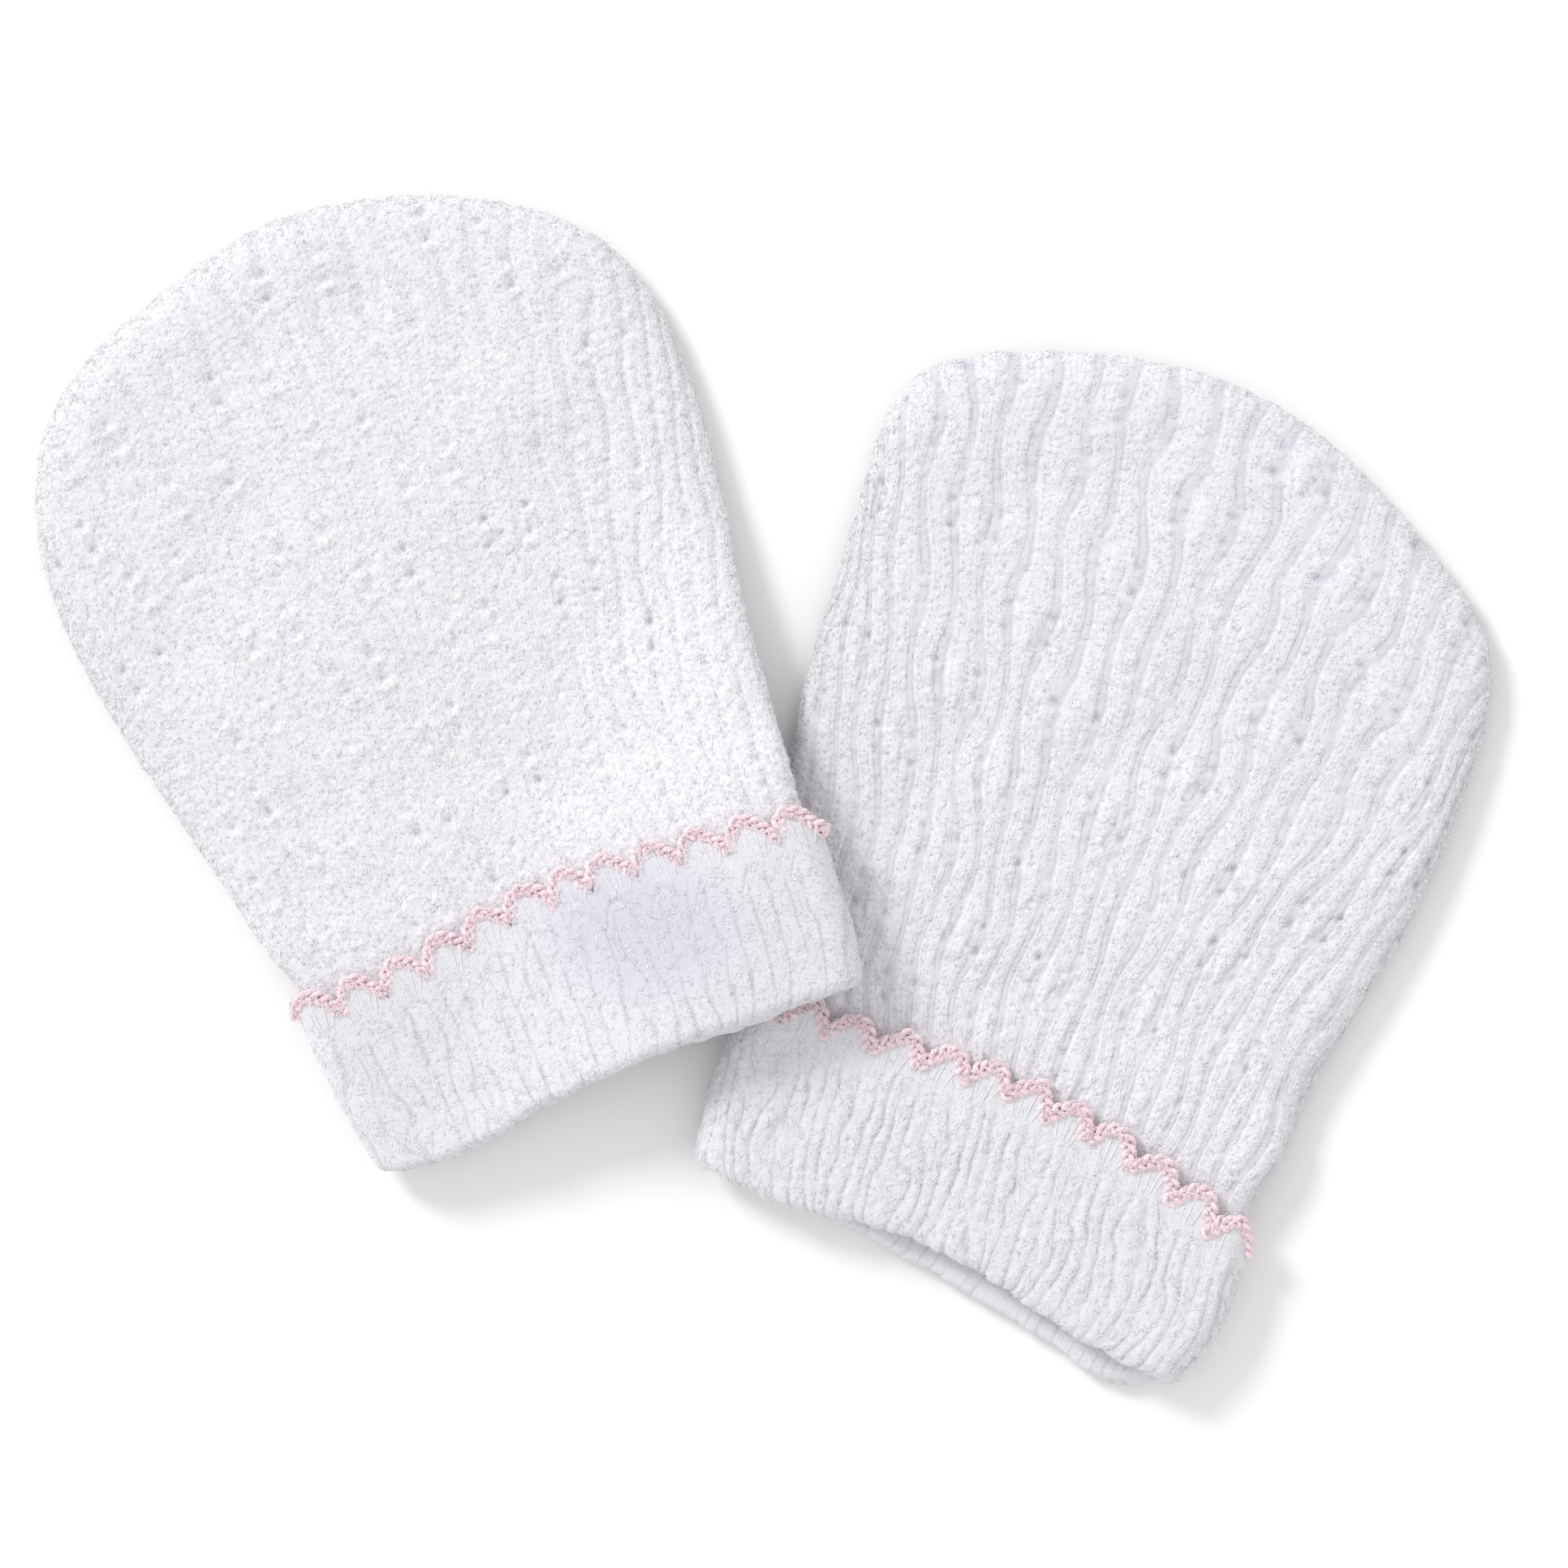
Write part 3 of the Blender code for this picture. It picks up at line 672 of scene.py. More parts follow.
def leaf_shape(across, lengthways):
    """1 on the crest of a leaf, falling to 0 at its rim; it tapers towards the mouth."""
    share = np.clip((lengthways - LEAF_START) / LEAF_LENGTH, 0.0, 1.0)
    half = LEAF_HALF_WIDTH * share**0.75 * np.sqrt(1.0 - share**5) + 1e-3
    return np.clip(1.0 - (across / half) ** 2, 0.0, 1.0) ** 0.6 * (share * (1.0 - share) > 0.0)


# %% Put the ribs, leaves, eyelets, knots and single stitches together
SIDE_FROM = 0.62
SIDE_TO = 0.80
DOME_FROM = 84.0
DOME_TO = 98.0
RIB_UNEVEN = 0.35
GROOVE_WIDTH = 1.5 * CORD_HALF_WIDTH / RIB_PITCH
CORD_WIDTH = 0.7 * CORD_HALF_WIDTH / RIB_PITCH
DIP_DEPTH = 0.12
DIP_WIDTH = 0.16
LEAF_FOOT = 0.5
KNOT_RADIUS = 0.62
KNOT_BELOW = 1.2
SQUEEZE = 0.9
GROOVE_PAINTED_SHADE = 0.4
FULL_GROOVE = 0.3
HOLE_PAINTED_SHADE = 0.95
Crumb = namedtuple("Crumb", "share across along")
CRUMBS = (Crumb(share=0.6, across=5.1, along=1.7), Crumb(share=0.7, across=9.3, along=2.9))


def rib_relief(mitten, rib, along):
    """The ribs with their grooves and cords, how high they are and how deep in a groove it is."""
    knit = KNITS[mitten.name]
    phase = rib - np.floor(rib)
    to_groove = np.minimum(phase, 1.0 - phase)
    side = smooth_step(SIDE_FROM, SIDE_TO, rib / mitten.ribs) + smooth_step(DOME_FROM, DOME_TO, along)
    height = knit.rib + knit.side_rib * np.clip(side, 0.0, 1.0)
    uneven = soft_hills(rib * 0.7 + 61, along / 7.0 + 61, mitten.seed + 7)
    height = height * (1.0 + RIB_UNEVEN * uneven)
    groove = bell(to_groove, GROOVE_WIDTH)
    relief = height * (1.0 - groove) + knit.cord * bell(to_groove, CORD_WIDTH)
    relief -= DIP_DEPTH * height * bell(0.5 - to_groove, DIP_WIDTH)
    return relief, height, groove


def holes_and_knots(rib, along, across, lengthways, strength, seed):
    """1 in the middle of each eyelet, and 1 on each of the knots beside the leaves."""
    holes = np.zeros_like(along)
    knots = np.zeros_like(along)
    for beside in (-1.0, 1.0):
        for beyond in (-1.0, 1.0):
            off_x = across - beside * EYELET_ACROSS
            off_y = lengthways - beyond * EYELET_ALONG
            holes = np.maximum(holes, bell(np.hypot(off_x, off_y * SQUEEZE), EYELET_RADIUS))
            off_knot = np.hypot(off_x * SQUEEZE, off_y + KNOT_BELOW)
            knots = np.maximum(knots, bell(off_knot, KNOT_RADIUS))
    holes *= np.clip(strength * 1.5 - 0.6, 0.2, 1.0)
    holes *= 0.75 + 0.6 * soft_hills(rib * 0.9 + 23, along / 2.1 + 23, seed + 9)
    return holes, knots


def knitted(mitten, rib, along):
    """The relief in mm, the painted shade of each point's groove or eyelet, and its rib after swaying.
    """
    knit = KNITS[mitten.name]
    seed = mitten.seed
    across, lengthways, strength = lattice(rib, along, seed + 2)
    rib = rib + knit.wander * soft_hills(rib * 0.55 + 7, along / 8.0 + 7, seed + 1)
    rib = swayed(knit, rib, along, seed + 6)
    relief, height, groove = rib_relief(mitten, rib, along)
    leaf = leaf_shape(across, lengthways)
    raised = LEAF_FOOT * height + knit.leaf * strength * leaf
    relief = mix(relief, raised, np.clip(2.5 * leaf, 0.0, 1.0))
    groove = groove * (1.0 - np.clip(2.0 * leaf, 0.0, 1.0))
    holes, knots = holes_and_knots(rib, along, across, lengthways, strength, seed)
    relief += knit.knot * knots * strength - knit.eyelet * holes
    for number, crumb in enumerate(CRUMBS):
        hills = soft_hills(rib * crumb.across, along * crumb.along, seed + 4 + number)
        relief += knit.crumb * crumb.share * hills
    # Painted shade: grooves and eyelets are painted darker, and deeper grooves more so.
    shade = GROOVE_PAINTED_SHADE * groove * height / FULL_GROOVE + HOLE_PAINTED_SHADE * holes
    return relief, np.clip(shade, 0.0, 1.0), rib


# %% [markdown]
# ## Turning grids into closed walls
#
# A panel is a wall of cloth: a fine outer face, a plain inner face, and a narrow rim between
# them. Blender's Solidify could give the thickness, but the inner face would then be as dense
# as the outer one. Making the inner face from a coarse grid and stitching the two rims together
# saves half of the triangles.

# %% Put finished meshes in the scene
def add_object(name, data):
    """An object at the origin for a finished mesh."""
    made = bpy.data.objects.new(name, data)
    bpy.context.scene.collection.objects.link(made)
    print(name, "faces:", len(data.polygons))
    return made


def piece_name(mitten, front, what):
    return f"{mitten.name}_{'front' if front else 'back'}_{what}"


# %% Stitch two grids into one closed wall
def lengths_along(points):
    steps = np.linalg.norm(np.diff(points, axis=0), axis=1)
    total = np.concatenate([[0.0], np.cumsum(steps)])
    return total / total[-1]


def strip_between(first, second, points):
    """Triangles between two lines of vertex numbers that run beside each other."""
    first_at = lengths_along(points[first])
    second_at = lengths_along(points[second])
    faces = []
    i = j = 0
    while i < len(first) - 1 or j < len(second) - 1:
        on_first = j == len(second) - 1 or (
            i < len(first) - 1 and first_at[i + 1] <= second_at[j + 1]
        )
        if on_first:
            faces.append((first[i], first[i + 1], second[j]))
            i += 1
        else:
            faces.append((first[i], second[j + 1], second[j]))
            j += 1
    return faces


def grid_quads(numbers):
    low = numbers[:-1]
    high = numbers[1:]
    quads = np.stack([low[:, :-1], low[:, 1:], high[:, 1:], high[:, :-1]], axis=-1)
    return quads.reshape(-1, 4).tolist()


def wall(name, mitten, outer, inner, cloth, shade, material):
    """A closed wall of cloth; cloth gives each outer point's place in the knit, in mm."""
    outer_count = outer.shape[0] * outer.shape[1]
    numbers = [
        np.arange(outer_count).reshape(outer.shape[:2]),
        outer_count + np.arange(inner.shape[0] * inner.shape[1]).reshape(inner.shape[:2]),
    ]
    points = placed(mitten, np.concatenate([outer.reshape(-1, 3), inner.reshape(-1, 3)]))
    faces = grid_quads(numbers[0]) + grid_quads(numbers[1])
    for edge in (lambda g: g[0], lambda g: g[-1], lambda g: g[:, 0], lambda g: g[:, -1]):
        faces += strip_between(edge(numbers[0]).tolist(), edge(numbers[1]).tolist(), points)
    data = bpy.data.meshes.new(name)
    data.from_pydata(points.tolist(), [], faces)
    shell = bmesh.new()
    shell.from_mesh(data)
    bmesh.ops.recalc_face_normals(shell, faces=shell.faces)
    shell.to_mesh(data)
    shell.free()
    plan = np.concatenate([cloth.reshape(-1, 2), inner.reshape(-1, 3)[:, :2]])
    loops = np.empty(len(data.loops), dtype=np.int32)
    data.loops.foreach_get("vertex_index", loops)
    data.uv_layers.new(name="knit_place").data.foreach_set("uv", plan[loops].ravel())
    # The groove attribute carries painted shade: how much darker each outer point is painted in grooves,
    # eyelets, along the rim and on the cuff.
    depth = data.attributes.new("groove", "FLOAT", "POINT")
    plain = np.zeros(inner.shape[0] * inner.shape[1])
    depth.data.foreach_set("value", np.concatenate([shade.ravel(), plain]))
    data.shade_smooth()
    data.materials.append(material)
    return add_object(name, data)


# %% [markdown]
# ## Materials: what the yarn looks like up close
#
# A render of white cotton lives from tiny shadows. The grid gives ribs and stitches; what is
# finer than the grid, the plies of the yarn and its curls, is colour and bump. Two shader groups
# make it: one draws the legs of knitted stitches from a point's place in the knit, the other
# draws short curly fibres, which the pink yarn uses too.

# %% Helpers for building shader nodes
def make_group(name, sockets_in, sockets_out):
    group = bpy.data.node_groups.new(name, "ShaderNodeTree")
    for socket, kind, value in sockets_in:
        made = group.interface.new_socket(socket, in_out="INPUT", socket_type=kind)
        if value is not None:
            made.default_value = value
    for socket in sockets_out:
        group.interface.new_socket(socket, in_out="OUTPUT", socket_type="NodeSocketFloat")
    return group, group.nodes.new("NodeGroupInput"), group.nodes.new("NodeGroupOutput")


def add_node(tree, kind, inputs, **settings):
    """Adds a node; an input takes either a plain value or another node's socket."""
    made = tree.nodes.new(kind)
    for key, value in settings.items():
        setattr(made, key, value)
    for socket, value in inputs.items():
        if isinstance(value, bpy.types.NodeSocket):
            tree.links.new(value, made.inputs[socket])
        else:
            made.inputs[socket].default_value = value
    return made


def new_material(name):
    """A material with its node tree and its Principled shader."""
    material = bpy.data.materials.new(name)
    material.use_nodes = True
    return material, material.node_tree, material.node_tree.nodes["Principled BSDF"]


def matte(shader, roughness, specular, sheen=0.0, sheen_roughness=0.5):
    """The shader's own values for dry, hairy yarn."""
    shader.inputs["Roughness"].default_value = roughness
    shader.inputs["Specular IOR Level"].default_value = specular
    shader.inputs["Sheen Weight"].default_value = sheen
    shader.inputs["Sheen Roughness"].default_value = sheen_roughness


def bumped(tree, shader, height):
    """Bump from a height in mm."""
    bump = add_node(tree, "ShaderNodeBump", {"Strength": 1.0, "Distance": MILLIMETRE, "Height": height})
    tree.links.new(bump.outputs["Normal"], shader.inputs["Normal"])


def maths(tree, operation, *values):
    return add_node(tree, "ShaderNodeMath", dict(enumerate(values)), operation=operation).outputs[0]


def vector(tree, operation, first, second):
    """Any sum or product of two vectors, or the first one scaled by a number."""
    other = "Scale" if operation == "SCALE" else 1
    return add_node(tree, "ShaderNodeVectorMath", {0: first, other: second},
                    operation=operation).outputs[0]


def noise(tree, place, scale, detail, roughness=0.5):
    inputs = {"Vector": place, "Scale": scale, "Detail": detail, "Roughness": roughness}
    return add_node(tree, "ShaderNodeTexNoise", inputs).outputs


# %% Draw the legs of knitted stitches, and the pits between them
WOBBLE_SCALE = 0.7
LEG_SLANT = 1.5
LEG_FLATNESS = 0.6
LOOP_FLATNESS = 0.7


def band(tree, value, start, end):
    """0 up to start and 1 from end on, turning smoothly between them."""
    return add_node(tree, "ShaderNodeMapRange", {"Value": value, "From Min": start, "From Max": end},
                    interpolation_type="SMOOTHSTEP").outputs[0]


def make_stitch_group():
    group, given, result = make_group(
        "knitted stitches",
        (("Place", "NodeSocketVector", None), ("Wale", "NodeSocketFloat", 1.0),
         ("Course", "NodeSocketFloat", 0.86), ("Uneven", "NodeSocketFloat", 0.5)),
        ("Height", "Pit"),
    )
    wobble = noise(group, given.outputs["Place"], WOBBLE_SCALE, 2.0)
    shift = vector(group, "SUBTRACT", wobble["Color"], (0.5, 0.5, 0.5))
    scaled = vector(group, "SCALE", shift, given.outputs["Uneven"])
    moved = vector(group, "ADD", given.outputs["Place"], scaled)
    apart = add_node(group, "ShaderNodeSeparateXYZ", {0: moved})
    wale = maths(group, "DIVIDE", apart.outputs["X"], given.outputs["Wale"])
    course = maths(group, "DIVIDE", apart.outputs["Y"], given.outputs["Course"])
    from_middle = maths(group, "ABSOLUTE", maths(group, "SUBTRACT", maths(group, "FRACT", wale), 0.5))
    leg = maths(group, "SINE", maths(group, "MULTIPLY", from_middle, 2.0 * math.pi))
    slant = maths(group, "MULTIPLY", from_middle, LEG_SLANT)
    slanted = maths(group, "FRACT", maths(group, "ADD", course, slant))
    loop = maths(group, "SINE", maths(group, "MULTIPLY", slanted, math.pi))
    leg_height = maths(group, "POWER", leg, LEG_FLATNESS)
    height = maths(group, "MULTIPLY", leg_height, maths(group, "POWER", loop, LOOP_FLATNESS))
    group.links.new(height, result.inputs["Height"])
    nearest_edge = maths(group, "FLOOR", maths(group, "ADD", wale, 0.5))
    staggered = maths(group, "ADD", course, maths(group, "MULTIPLY", nearest_edge, 0.5))
    from_row = maths(group, "ABSOLUTE", maths(group, "SUBTRACT", maths(group, "FRACT", staggered), 0.5))
    between_legs = band(group, from_middle, 0.33, 0.46)
    pit = maths(group, "MULTIPLY", between_legs, band(group, from_row, 0.26, 0.42))
    luck = band(group, wobble["Fac"], 0.36, 0.56)
    group.links.new(maths(group, "MULTIPLY", pit, luck), result.inputs["Pit"])
    return group


# %% Draw short curly fibres
CURL_BEND = 1.2
CURL_THINNESS = 6.0
SECOND_CURLS = (31.7, 12.3, 5.1)
PATCH_SCALE = 0.12


def curly_lines(group, place, scale, offset):
    """Thin bent lines from the middle level of a noise, broken into short lengths by another."""
    shifted = vector(group, "ADD", place, offset)
    bend = noise(group, shifted, maths(group, "MULTIPLY", scale, 0.6), 1.0)
    push = vector(group, "SCALE", bend["Color"], CURL_BEND)
    strand = noise(group, vector(group, "ADD", shifted, push), scale, 2.0, roughness=0.6)
    ridge = maths(group, "ABSOLUTE", maths(group, "SUBTRACT", strand["Fac"], 0.5))
    line = maths(group, "SUBTRACT", 1.0, maths(group, "MULTIPLY", ridge, CURL_THINNESS))
    breaks = noise(group, shifted, maths(group, "MULTIPLY", scale, 0.9), 1.0)
    return maths(group, "MULTIPLY", maths(group, "MAXIMUM", line, 0.0),
                 band(group, breaks["Fac"], 0.40, 0.56))


def make_fibre_group():
    group, given, result = make_group(
        "loose fibres",
        (("Place", "NodeSocketVector", None), ("Size", "NodeSocketFloat", 1.0)),
        ("Height", "Patches"),
    )
    scale = maths(group, "DIVIDE", 1.0, given.outputs["Size"])
    first = curly_lines(group, given.outputs["Place"], scale, (0.0, 0.0, 0.0))
    second = curly_lines(group, given.outputs["Place"], scale, SECOND_CURLS)
    group.links.new(maths(group, "MAXIMUM", first, second), result.inputs["Height"])
    patches = noise(group, given.outputs["Place"], maths(group, "MULTIPLY", scale, PATCH_SCALE), 2.0)
    group.links.new(patches["Fac"], result.inputs["Patches"])
    return group


STITCH_GROUP = make_stitch_group()
FIBRE_GROUP = make_fibre_group()
print("shader groups:", STITCH_GROUP.name, "and", FIBRE_GROUP.name)

# %% [markdown]
# ### White knit
#
# The cloth is a cool white. Light that has bounced about between stitches comes back slightly
# lavender in every groove, so grooves, eyelets and the pits between stitches are painted greyer
# and more lavender: painted shade. Sheen stands for the haze of fibres that catches light at the edges.

# %% Mix the white knit
WHITE = (0.71, 0.703, 0.735, 1.0)
FIBRE_WHITE = (0.875, 0.872, 0.893, 1.0)
FIBRE_SHADE = (0.855, 0.852, 0.875, 1.0)
FIBRE_LIGHT = (0.895, 0.892, 0.911, 1.0)
GROOVE_SHADE = (0.60, 0.588, 0.635, 1.0)
LINE_SHADE = (0.50, 0.485, 0.56, 1.0)
TINT = (0.585, 0.578, 0.672, 1.0)
METRES_TO_MM = 1000.0
SCATTER_DEPTH = 0.6
KNIT_SCATTER = 0.2
PATCH_NARROW = 1.35


def add_group(tree, group, place, **values):
    """Places one of the two shader groups, reading its pattern at a place."""
    made = add_node(tree, "ShaderNodeGroup", {}, node_tree=group)
    tree.links.new(place, made.inputs["Place"])
    for socket, value in values.items():
        made.inputs[socket].default_value = value
    return made


def mixed(tree, share, first, second):
    """A colour between two, by a share."""
    node = add_node(tree, "ShaderNodeMix", {0: share}, data_type="RGBA")
    for socket, value in ((6, first), (7, second)):
        if isinstance(value, bpy.types.NodeSocket):
            tree.links.new(value, node.inputs[socket])
        else:
            node.inputs[socket].default_value = value
    return node.outputs[2]


def millimetres(tree):
    """A point's place on the object, in mm, for patterns that aren't bound to the knit."""
    where = add_node(tree, "ShaderNodeTexCoord", {})
    return vector(tree, "SCALE", where.outputs["Object"], METRES_TO_MM)


def patch_mask(tree, place, centre, reach):
    """1 in the middle of an oval patch on the table's plane, fading out at its reach."""
    away = vector(tree, "SUBTRACT", place, (*centre, 0.0))
    flat = vector(tree, "MULTIPLY", away, (1.0, PATCH_NARROW, 0.0))
    far = add_node(tree, "ShaderNodeVectorMath", {0: flat}, operation="LENGTH").outputs["Value"]
    inputs = {"Value": far, "From Min": reach * 0.2, "From Max": reach, "To Min": 1.0, "To Max": 0.0}
    return add_node(tree, "ShaderNodeMapRange", inputs, interpolation_type="SMOOTHSTEP").outputs[0]


def scatter_light(shader, weight):
    """Lets light wander a little way through the yarn, as it does in white cotton."""
    shader.inputs["Subsurface Weight"].default_value = weight
    shader.inputs["Subsurface Radius"].default_value = (1.0, 1.0, 1.0)
    shader.inputs["Subsurface Scale"].default_value = SCATTER_DEPTH * MILLIMETRE


# %% Draw the painted shade lines beside the cords
LINE_REACH = (0.03, 0.20)
LINE_BREAKS = (0.40, 0.56)
LINES_FROM = (4.0, 6.5)


def rib_lines(tree, uv, look, patches):
    """The thin lines of painted shade in the crevices beside the cords, and the cords themselves, from
    the place in the knit.
    """
    apart = add_node(tree, "ShaderNodeSeparateXYZ", {0: uv}).outputs
    phase = maths(tree, "FRACT", maths(tree, "DIVIDE", apart["X"], look.rib))
    from_middle = maths(tree, "ABSOLUTE", maths(tree, "SUBTRACT", phase, 0.5))
    from_edge = maths(tree, "SUBTRACT", 0.5, from_middle)
    from_cord = maths(tree, "MULTIPLY", from_edge, look.rib)
    off_line = maths(tree, "ABSOLUTE", maths(tree, "SUBTRACT", from_cord, look.cord))
    line = maths(tree, "SUBTRACT", 1.0, band(tree, off_line, *LINE_REACH))
    shown = maths(tree, "MULTIPLY", band(tree, patches, *LINE_BREAKS), look.line)
    shown = maths(tree, "MULTIPLY", shown, band(tree, apart["Y"], *LINES_FROM))
    cord = maths(tree, "SUBTRACT", 1.0, band(tree, from_cord, look.cord - 0.08, look.cord + 0.04))
    return maths(tree, "MULTIPLY", line, shown), maths(tree, "MULTIPLY", cord, look.smooth)


# %% Put the knit's colour and bump together
CURL_SIZE = 0.46
PIT_SHADE = 5.0
CLOUDINESS = 0.3
HOLE_SHADE = 0.4
CURL_HEIGHT = 0.02
LINE_DEPTH = 0.05


def make_knit_material(name, look, patches=()):
    material, tree, shader = new_material(name)
    uv = add_node(tree, "ShaderNodeUVMap", {}, uv_map="knit_place")
    groove = add_node(tree, "ShaderNodeAttribute", {}, attribute_name="groove")
    place = millimetres(tree)
    stitches = add_group(tree, STITCH_GROUP, uv.outputs["UV"], Wale=look.wale, Course=look.course)
    fibres = add_group(tree, FIBRE_GROUP, place, Size=CURL_SIZE)
    line, cord = rib_lines(tree, uv.outputs["UV"], look, fibres.outputs["Patches"])
    rough = maths(tree, "SUBTRACT", 1.0, cord)
    pit = maths(tree, "MULTIPLY", stitches.outputs["Pit"], rough)
    # Painted shade: the groove attribute and the pits between stitches turn the colour greyer and more
    # lavender.
    deep = maths(tree, "ADD", groove.outputs["Fac"], maths(tree, "MULTIPLY", pit, look.pits * PIT_SHADE))
    cloudy = maths(tree, "SUBTRACT", fibres.outputs["Patches"], 0.5)
    cloudy = maths(tree, "MULTIPLY", cloudy, CLOUDINESS)
    shade = add_node(tree, "ShaderNodeClamp", {"Value": maths(tree, "ADD", deep, cloudy)}).outputs[0]
    bare = mixed(tree, shade, WHITE, GROOVE_SHADE)
    curl = maths(tree, "MULTIPLY", fibres.outputs["Height"], rough)
    colour = mixed(tree, maths(tree, "MULTIPLY", curl, look.curl), bare, FIBRE_WHITE)
    # Painted shade: eyelets and the lines beside the cords are painted darker still.
    hole = maths(tree, "MULTIPLY", band(tree, groove.outputs["Fac"], 0.6, 1.0), HOLE_SHADE)
    colour = mixed(tree, maths(tree, "MAXIMUM", line, hole), colour, LINE_SHADE)
    for centre, reach, strength in patches:
        mask = maths(tree, "MULTIPLY", patch_mask(tree, place, centre, reach), strength)
        colour = mixed(tree, mask, colour, TINT)
    tree.links.new(colour, shader.inputs["Base Color"])
    legs = maths(tree, "MULTIPLY", stitches.outputs["Height"], rough)
    legs = maths(tree, "MULTIPLY", legs, look.legs)
    height = maths(tree, "ADD", legs, maths(tree, "MULTIPLY", curl, CURL_HEIGHT))
    height = maths(tree, "SUBTRACT", height, maths(tree, "MULTIPLY", pit, look.pits))
    height = maths(tree, "SUBTRACT", height, maths(tree, "MULTIPLY", line, LINE_DEPTH))
    bumped(tree, shader, height)
    matte(shader, 0.9, 0.25, sheen=0.25, sheen_roughness=0.55)
    scatter_light(shader, KNIT_SCATTER)
    return material


# %% Say how each knit looks, and mix its material
Look = namedtuple("Look", "wale course legs pits curl rib cord smooth line")
TINT_PATCH = ((-14.3, -15.4), 16.0, 0.8)
CUFF_PITCH = 1.24
PANEL_WALE = RIB_PITCH / WALES_PER_RIB
LOOKS = {
    "left": Look(wale=PANEL_WALE, course=COURSE, legs=0.035, pits=0.06, curl=0.75,
                 rib=RIB_PITCH, cord=CORD_HALF_WIDTH, smooth=0.0, line=0.0),
    "right": Look(wale=PANEL_WALE, course=COURSE, legs=0.035, pits=0.07, curl=0.65,
                  rib=RIB_PITCH, cord=CORD_HALF_WIDTH, smooth=0.85, line=0.45),
    "cuff": Look(wale=CUFF_PITCH / 2.0, course=0.7, legs=0.025, pits=0.02, curl=0.40,
                 rib=CUFF_PITCH, cord=0.0, smooth=0.0, line=0.42),
}
panel_materials = {
    "left": make_knit_material("flat_panel_knit", LOOKS["left"]),
    "right": make_knit_material("ribbed_panel_knit", LOOKS["right"]),
}
cuff_knit = make_knit_material("cuff_knit", LOOKS["cuff"])
tinted_knit = make_knit_material("tinted_cuff_knit", LOOKS["cuff"], (TINT_PATCH,))
print("knits:", [made.name for made in (*panel_materials.values(), cuff_knit, tinted_knit)])

# %% [markdown]
# ## The four panels
#
# The relief is pushed out along the cloth's own normal. On the fronts it stands on the wall. On
# the backs, which lie on the table, it is let into the wall instead, so that the tops of the ribs
# stay flat on the table, as the weight of a mitten presses them. The ribs stay a little way out
# at the seam, where they scallop the outline. The rim is painted a little darker than the rest:
# painted shade, which tones down the rounded rim where it turns up towards the light.

# %% Knit a panel
RIM_SHADE = 0.28
RIM_WIDTH = 3.5
RIM_RIBS = 0.7
PAST_RIM = 0.3
RIM_FADE = 1.6
RIBS_RISE = 3.0
BACK_RIBS = 0.8
FLUFFY_RIM = 3.0
pieces = {}
surfaces = {}
Surface = namedtuple("Surface", "points normal rib weight")


def make_panel(mitten, front):
    face = panel_face(mitten, 0.0, front, FINE if front else MEDIUM)
    relief, shade, rib = knitted(mitten, face.rib, face.along)
    fade = smooth_step(0.0, RIM_FADE, face.to_edge) * PAST_RIM + RIM_RIBS
    fade = fade * smooth_step(RIBS_START, RIBS_START + RIBS_RISE, face.points[..., 1])
    if front:
        relief = relief * fade
    else:
        knit = KNITS[mitten.name]
        relief = (relief - knit.rib - knit.leaf) * BACK_RIBS * fade
        relief = np.minimum(relief, 0.0)
    outer = face.points + face.normal * relief[..., None]
    if not front:
        outer[..., 2] = np.maximum(outer[..., 2], 0.0)
    inner = panel_face(mitten, WALL, front, COARSE).points
    cloth = np.stack([rib * RIB_PITCH, face.along], axis=2)
    name = piece_name(mitten, front, "knit")
    material = panel_materials[mitten.name]
    # Painted shade: a band along the seam is painted darker, to tone down the rounded rim where it turns
    # towards the light.
    painted_rim_shade = RIM_SHADE * bell(face.to_edge, RIM_WIDTH)
    pieces[name] = wall(name, mitten, outer, inner, cloth, shade * fade + painted_rim_shade, material)
    shows = smooth_step(CUFF_TOP - 2.0, CUFF_TOP - 1.0, face.points[..., 1]) * (1.0 - 0.8 * shade)
    fluffy = 1.0 + FLUFFY_RIM * bell(face.to_edge, 1.0)
    surfaces[name] = Surface(outer, face.normal, rib * WALES_PER_RIB, shows * fluffy)


for mitten in MITTENS:
    for side, front in SIDES:
        make_panel(mitten, front)

# %% [markdown]
# ## The cuffs
#
# A cuff is a strip of finer rib that is turned up over the panel: down its outer side, round
# the fold at the mouth and up a short leg inside, where it is joined to the panel. Its free edge
# follows the scallops of the edging, which is crocheted onto it. Each fold has its own table
# of where it lies, because the two layers at a mouth never end exactly together.

# %% Where the edging and the cuff lie
CUFF_RIBS = {"left": 26, "right": 34}
CuffGrid = namedtuple("CuffGrid", "step side_rows fold_rows leg_rows")
FINE_CUFF = CuffGrid(step=0.26, side_rows=68, fold_rows=14, leg_rows=5)
MEDIUM_CUFF = CuffGrid(step=0.45, side_rows=38, fold_rows=10, leg_rows=4)
COARSE_CUFF = CuffGrid(step=1.4, side_rows=8, fold_rows=4, leg_rows=2)
CUFF_REFERENCE_WIDTH = 64.0
UNDER_EDGING = 0.35
FOLD_UNEVEN = 0.25
ARCH_DRIFT = 0.09
ARCH_RANGE = 0.12


def edge_middle(mitten, share):
    """The middle of the edging's scallops along the mitten, at a share of its half width."""
    return table_column(mitten.edge, "share", "along", share)


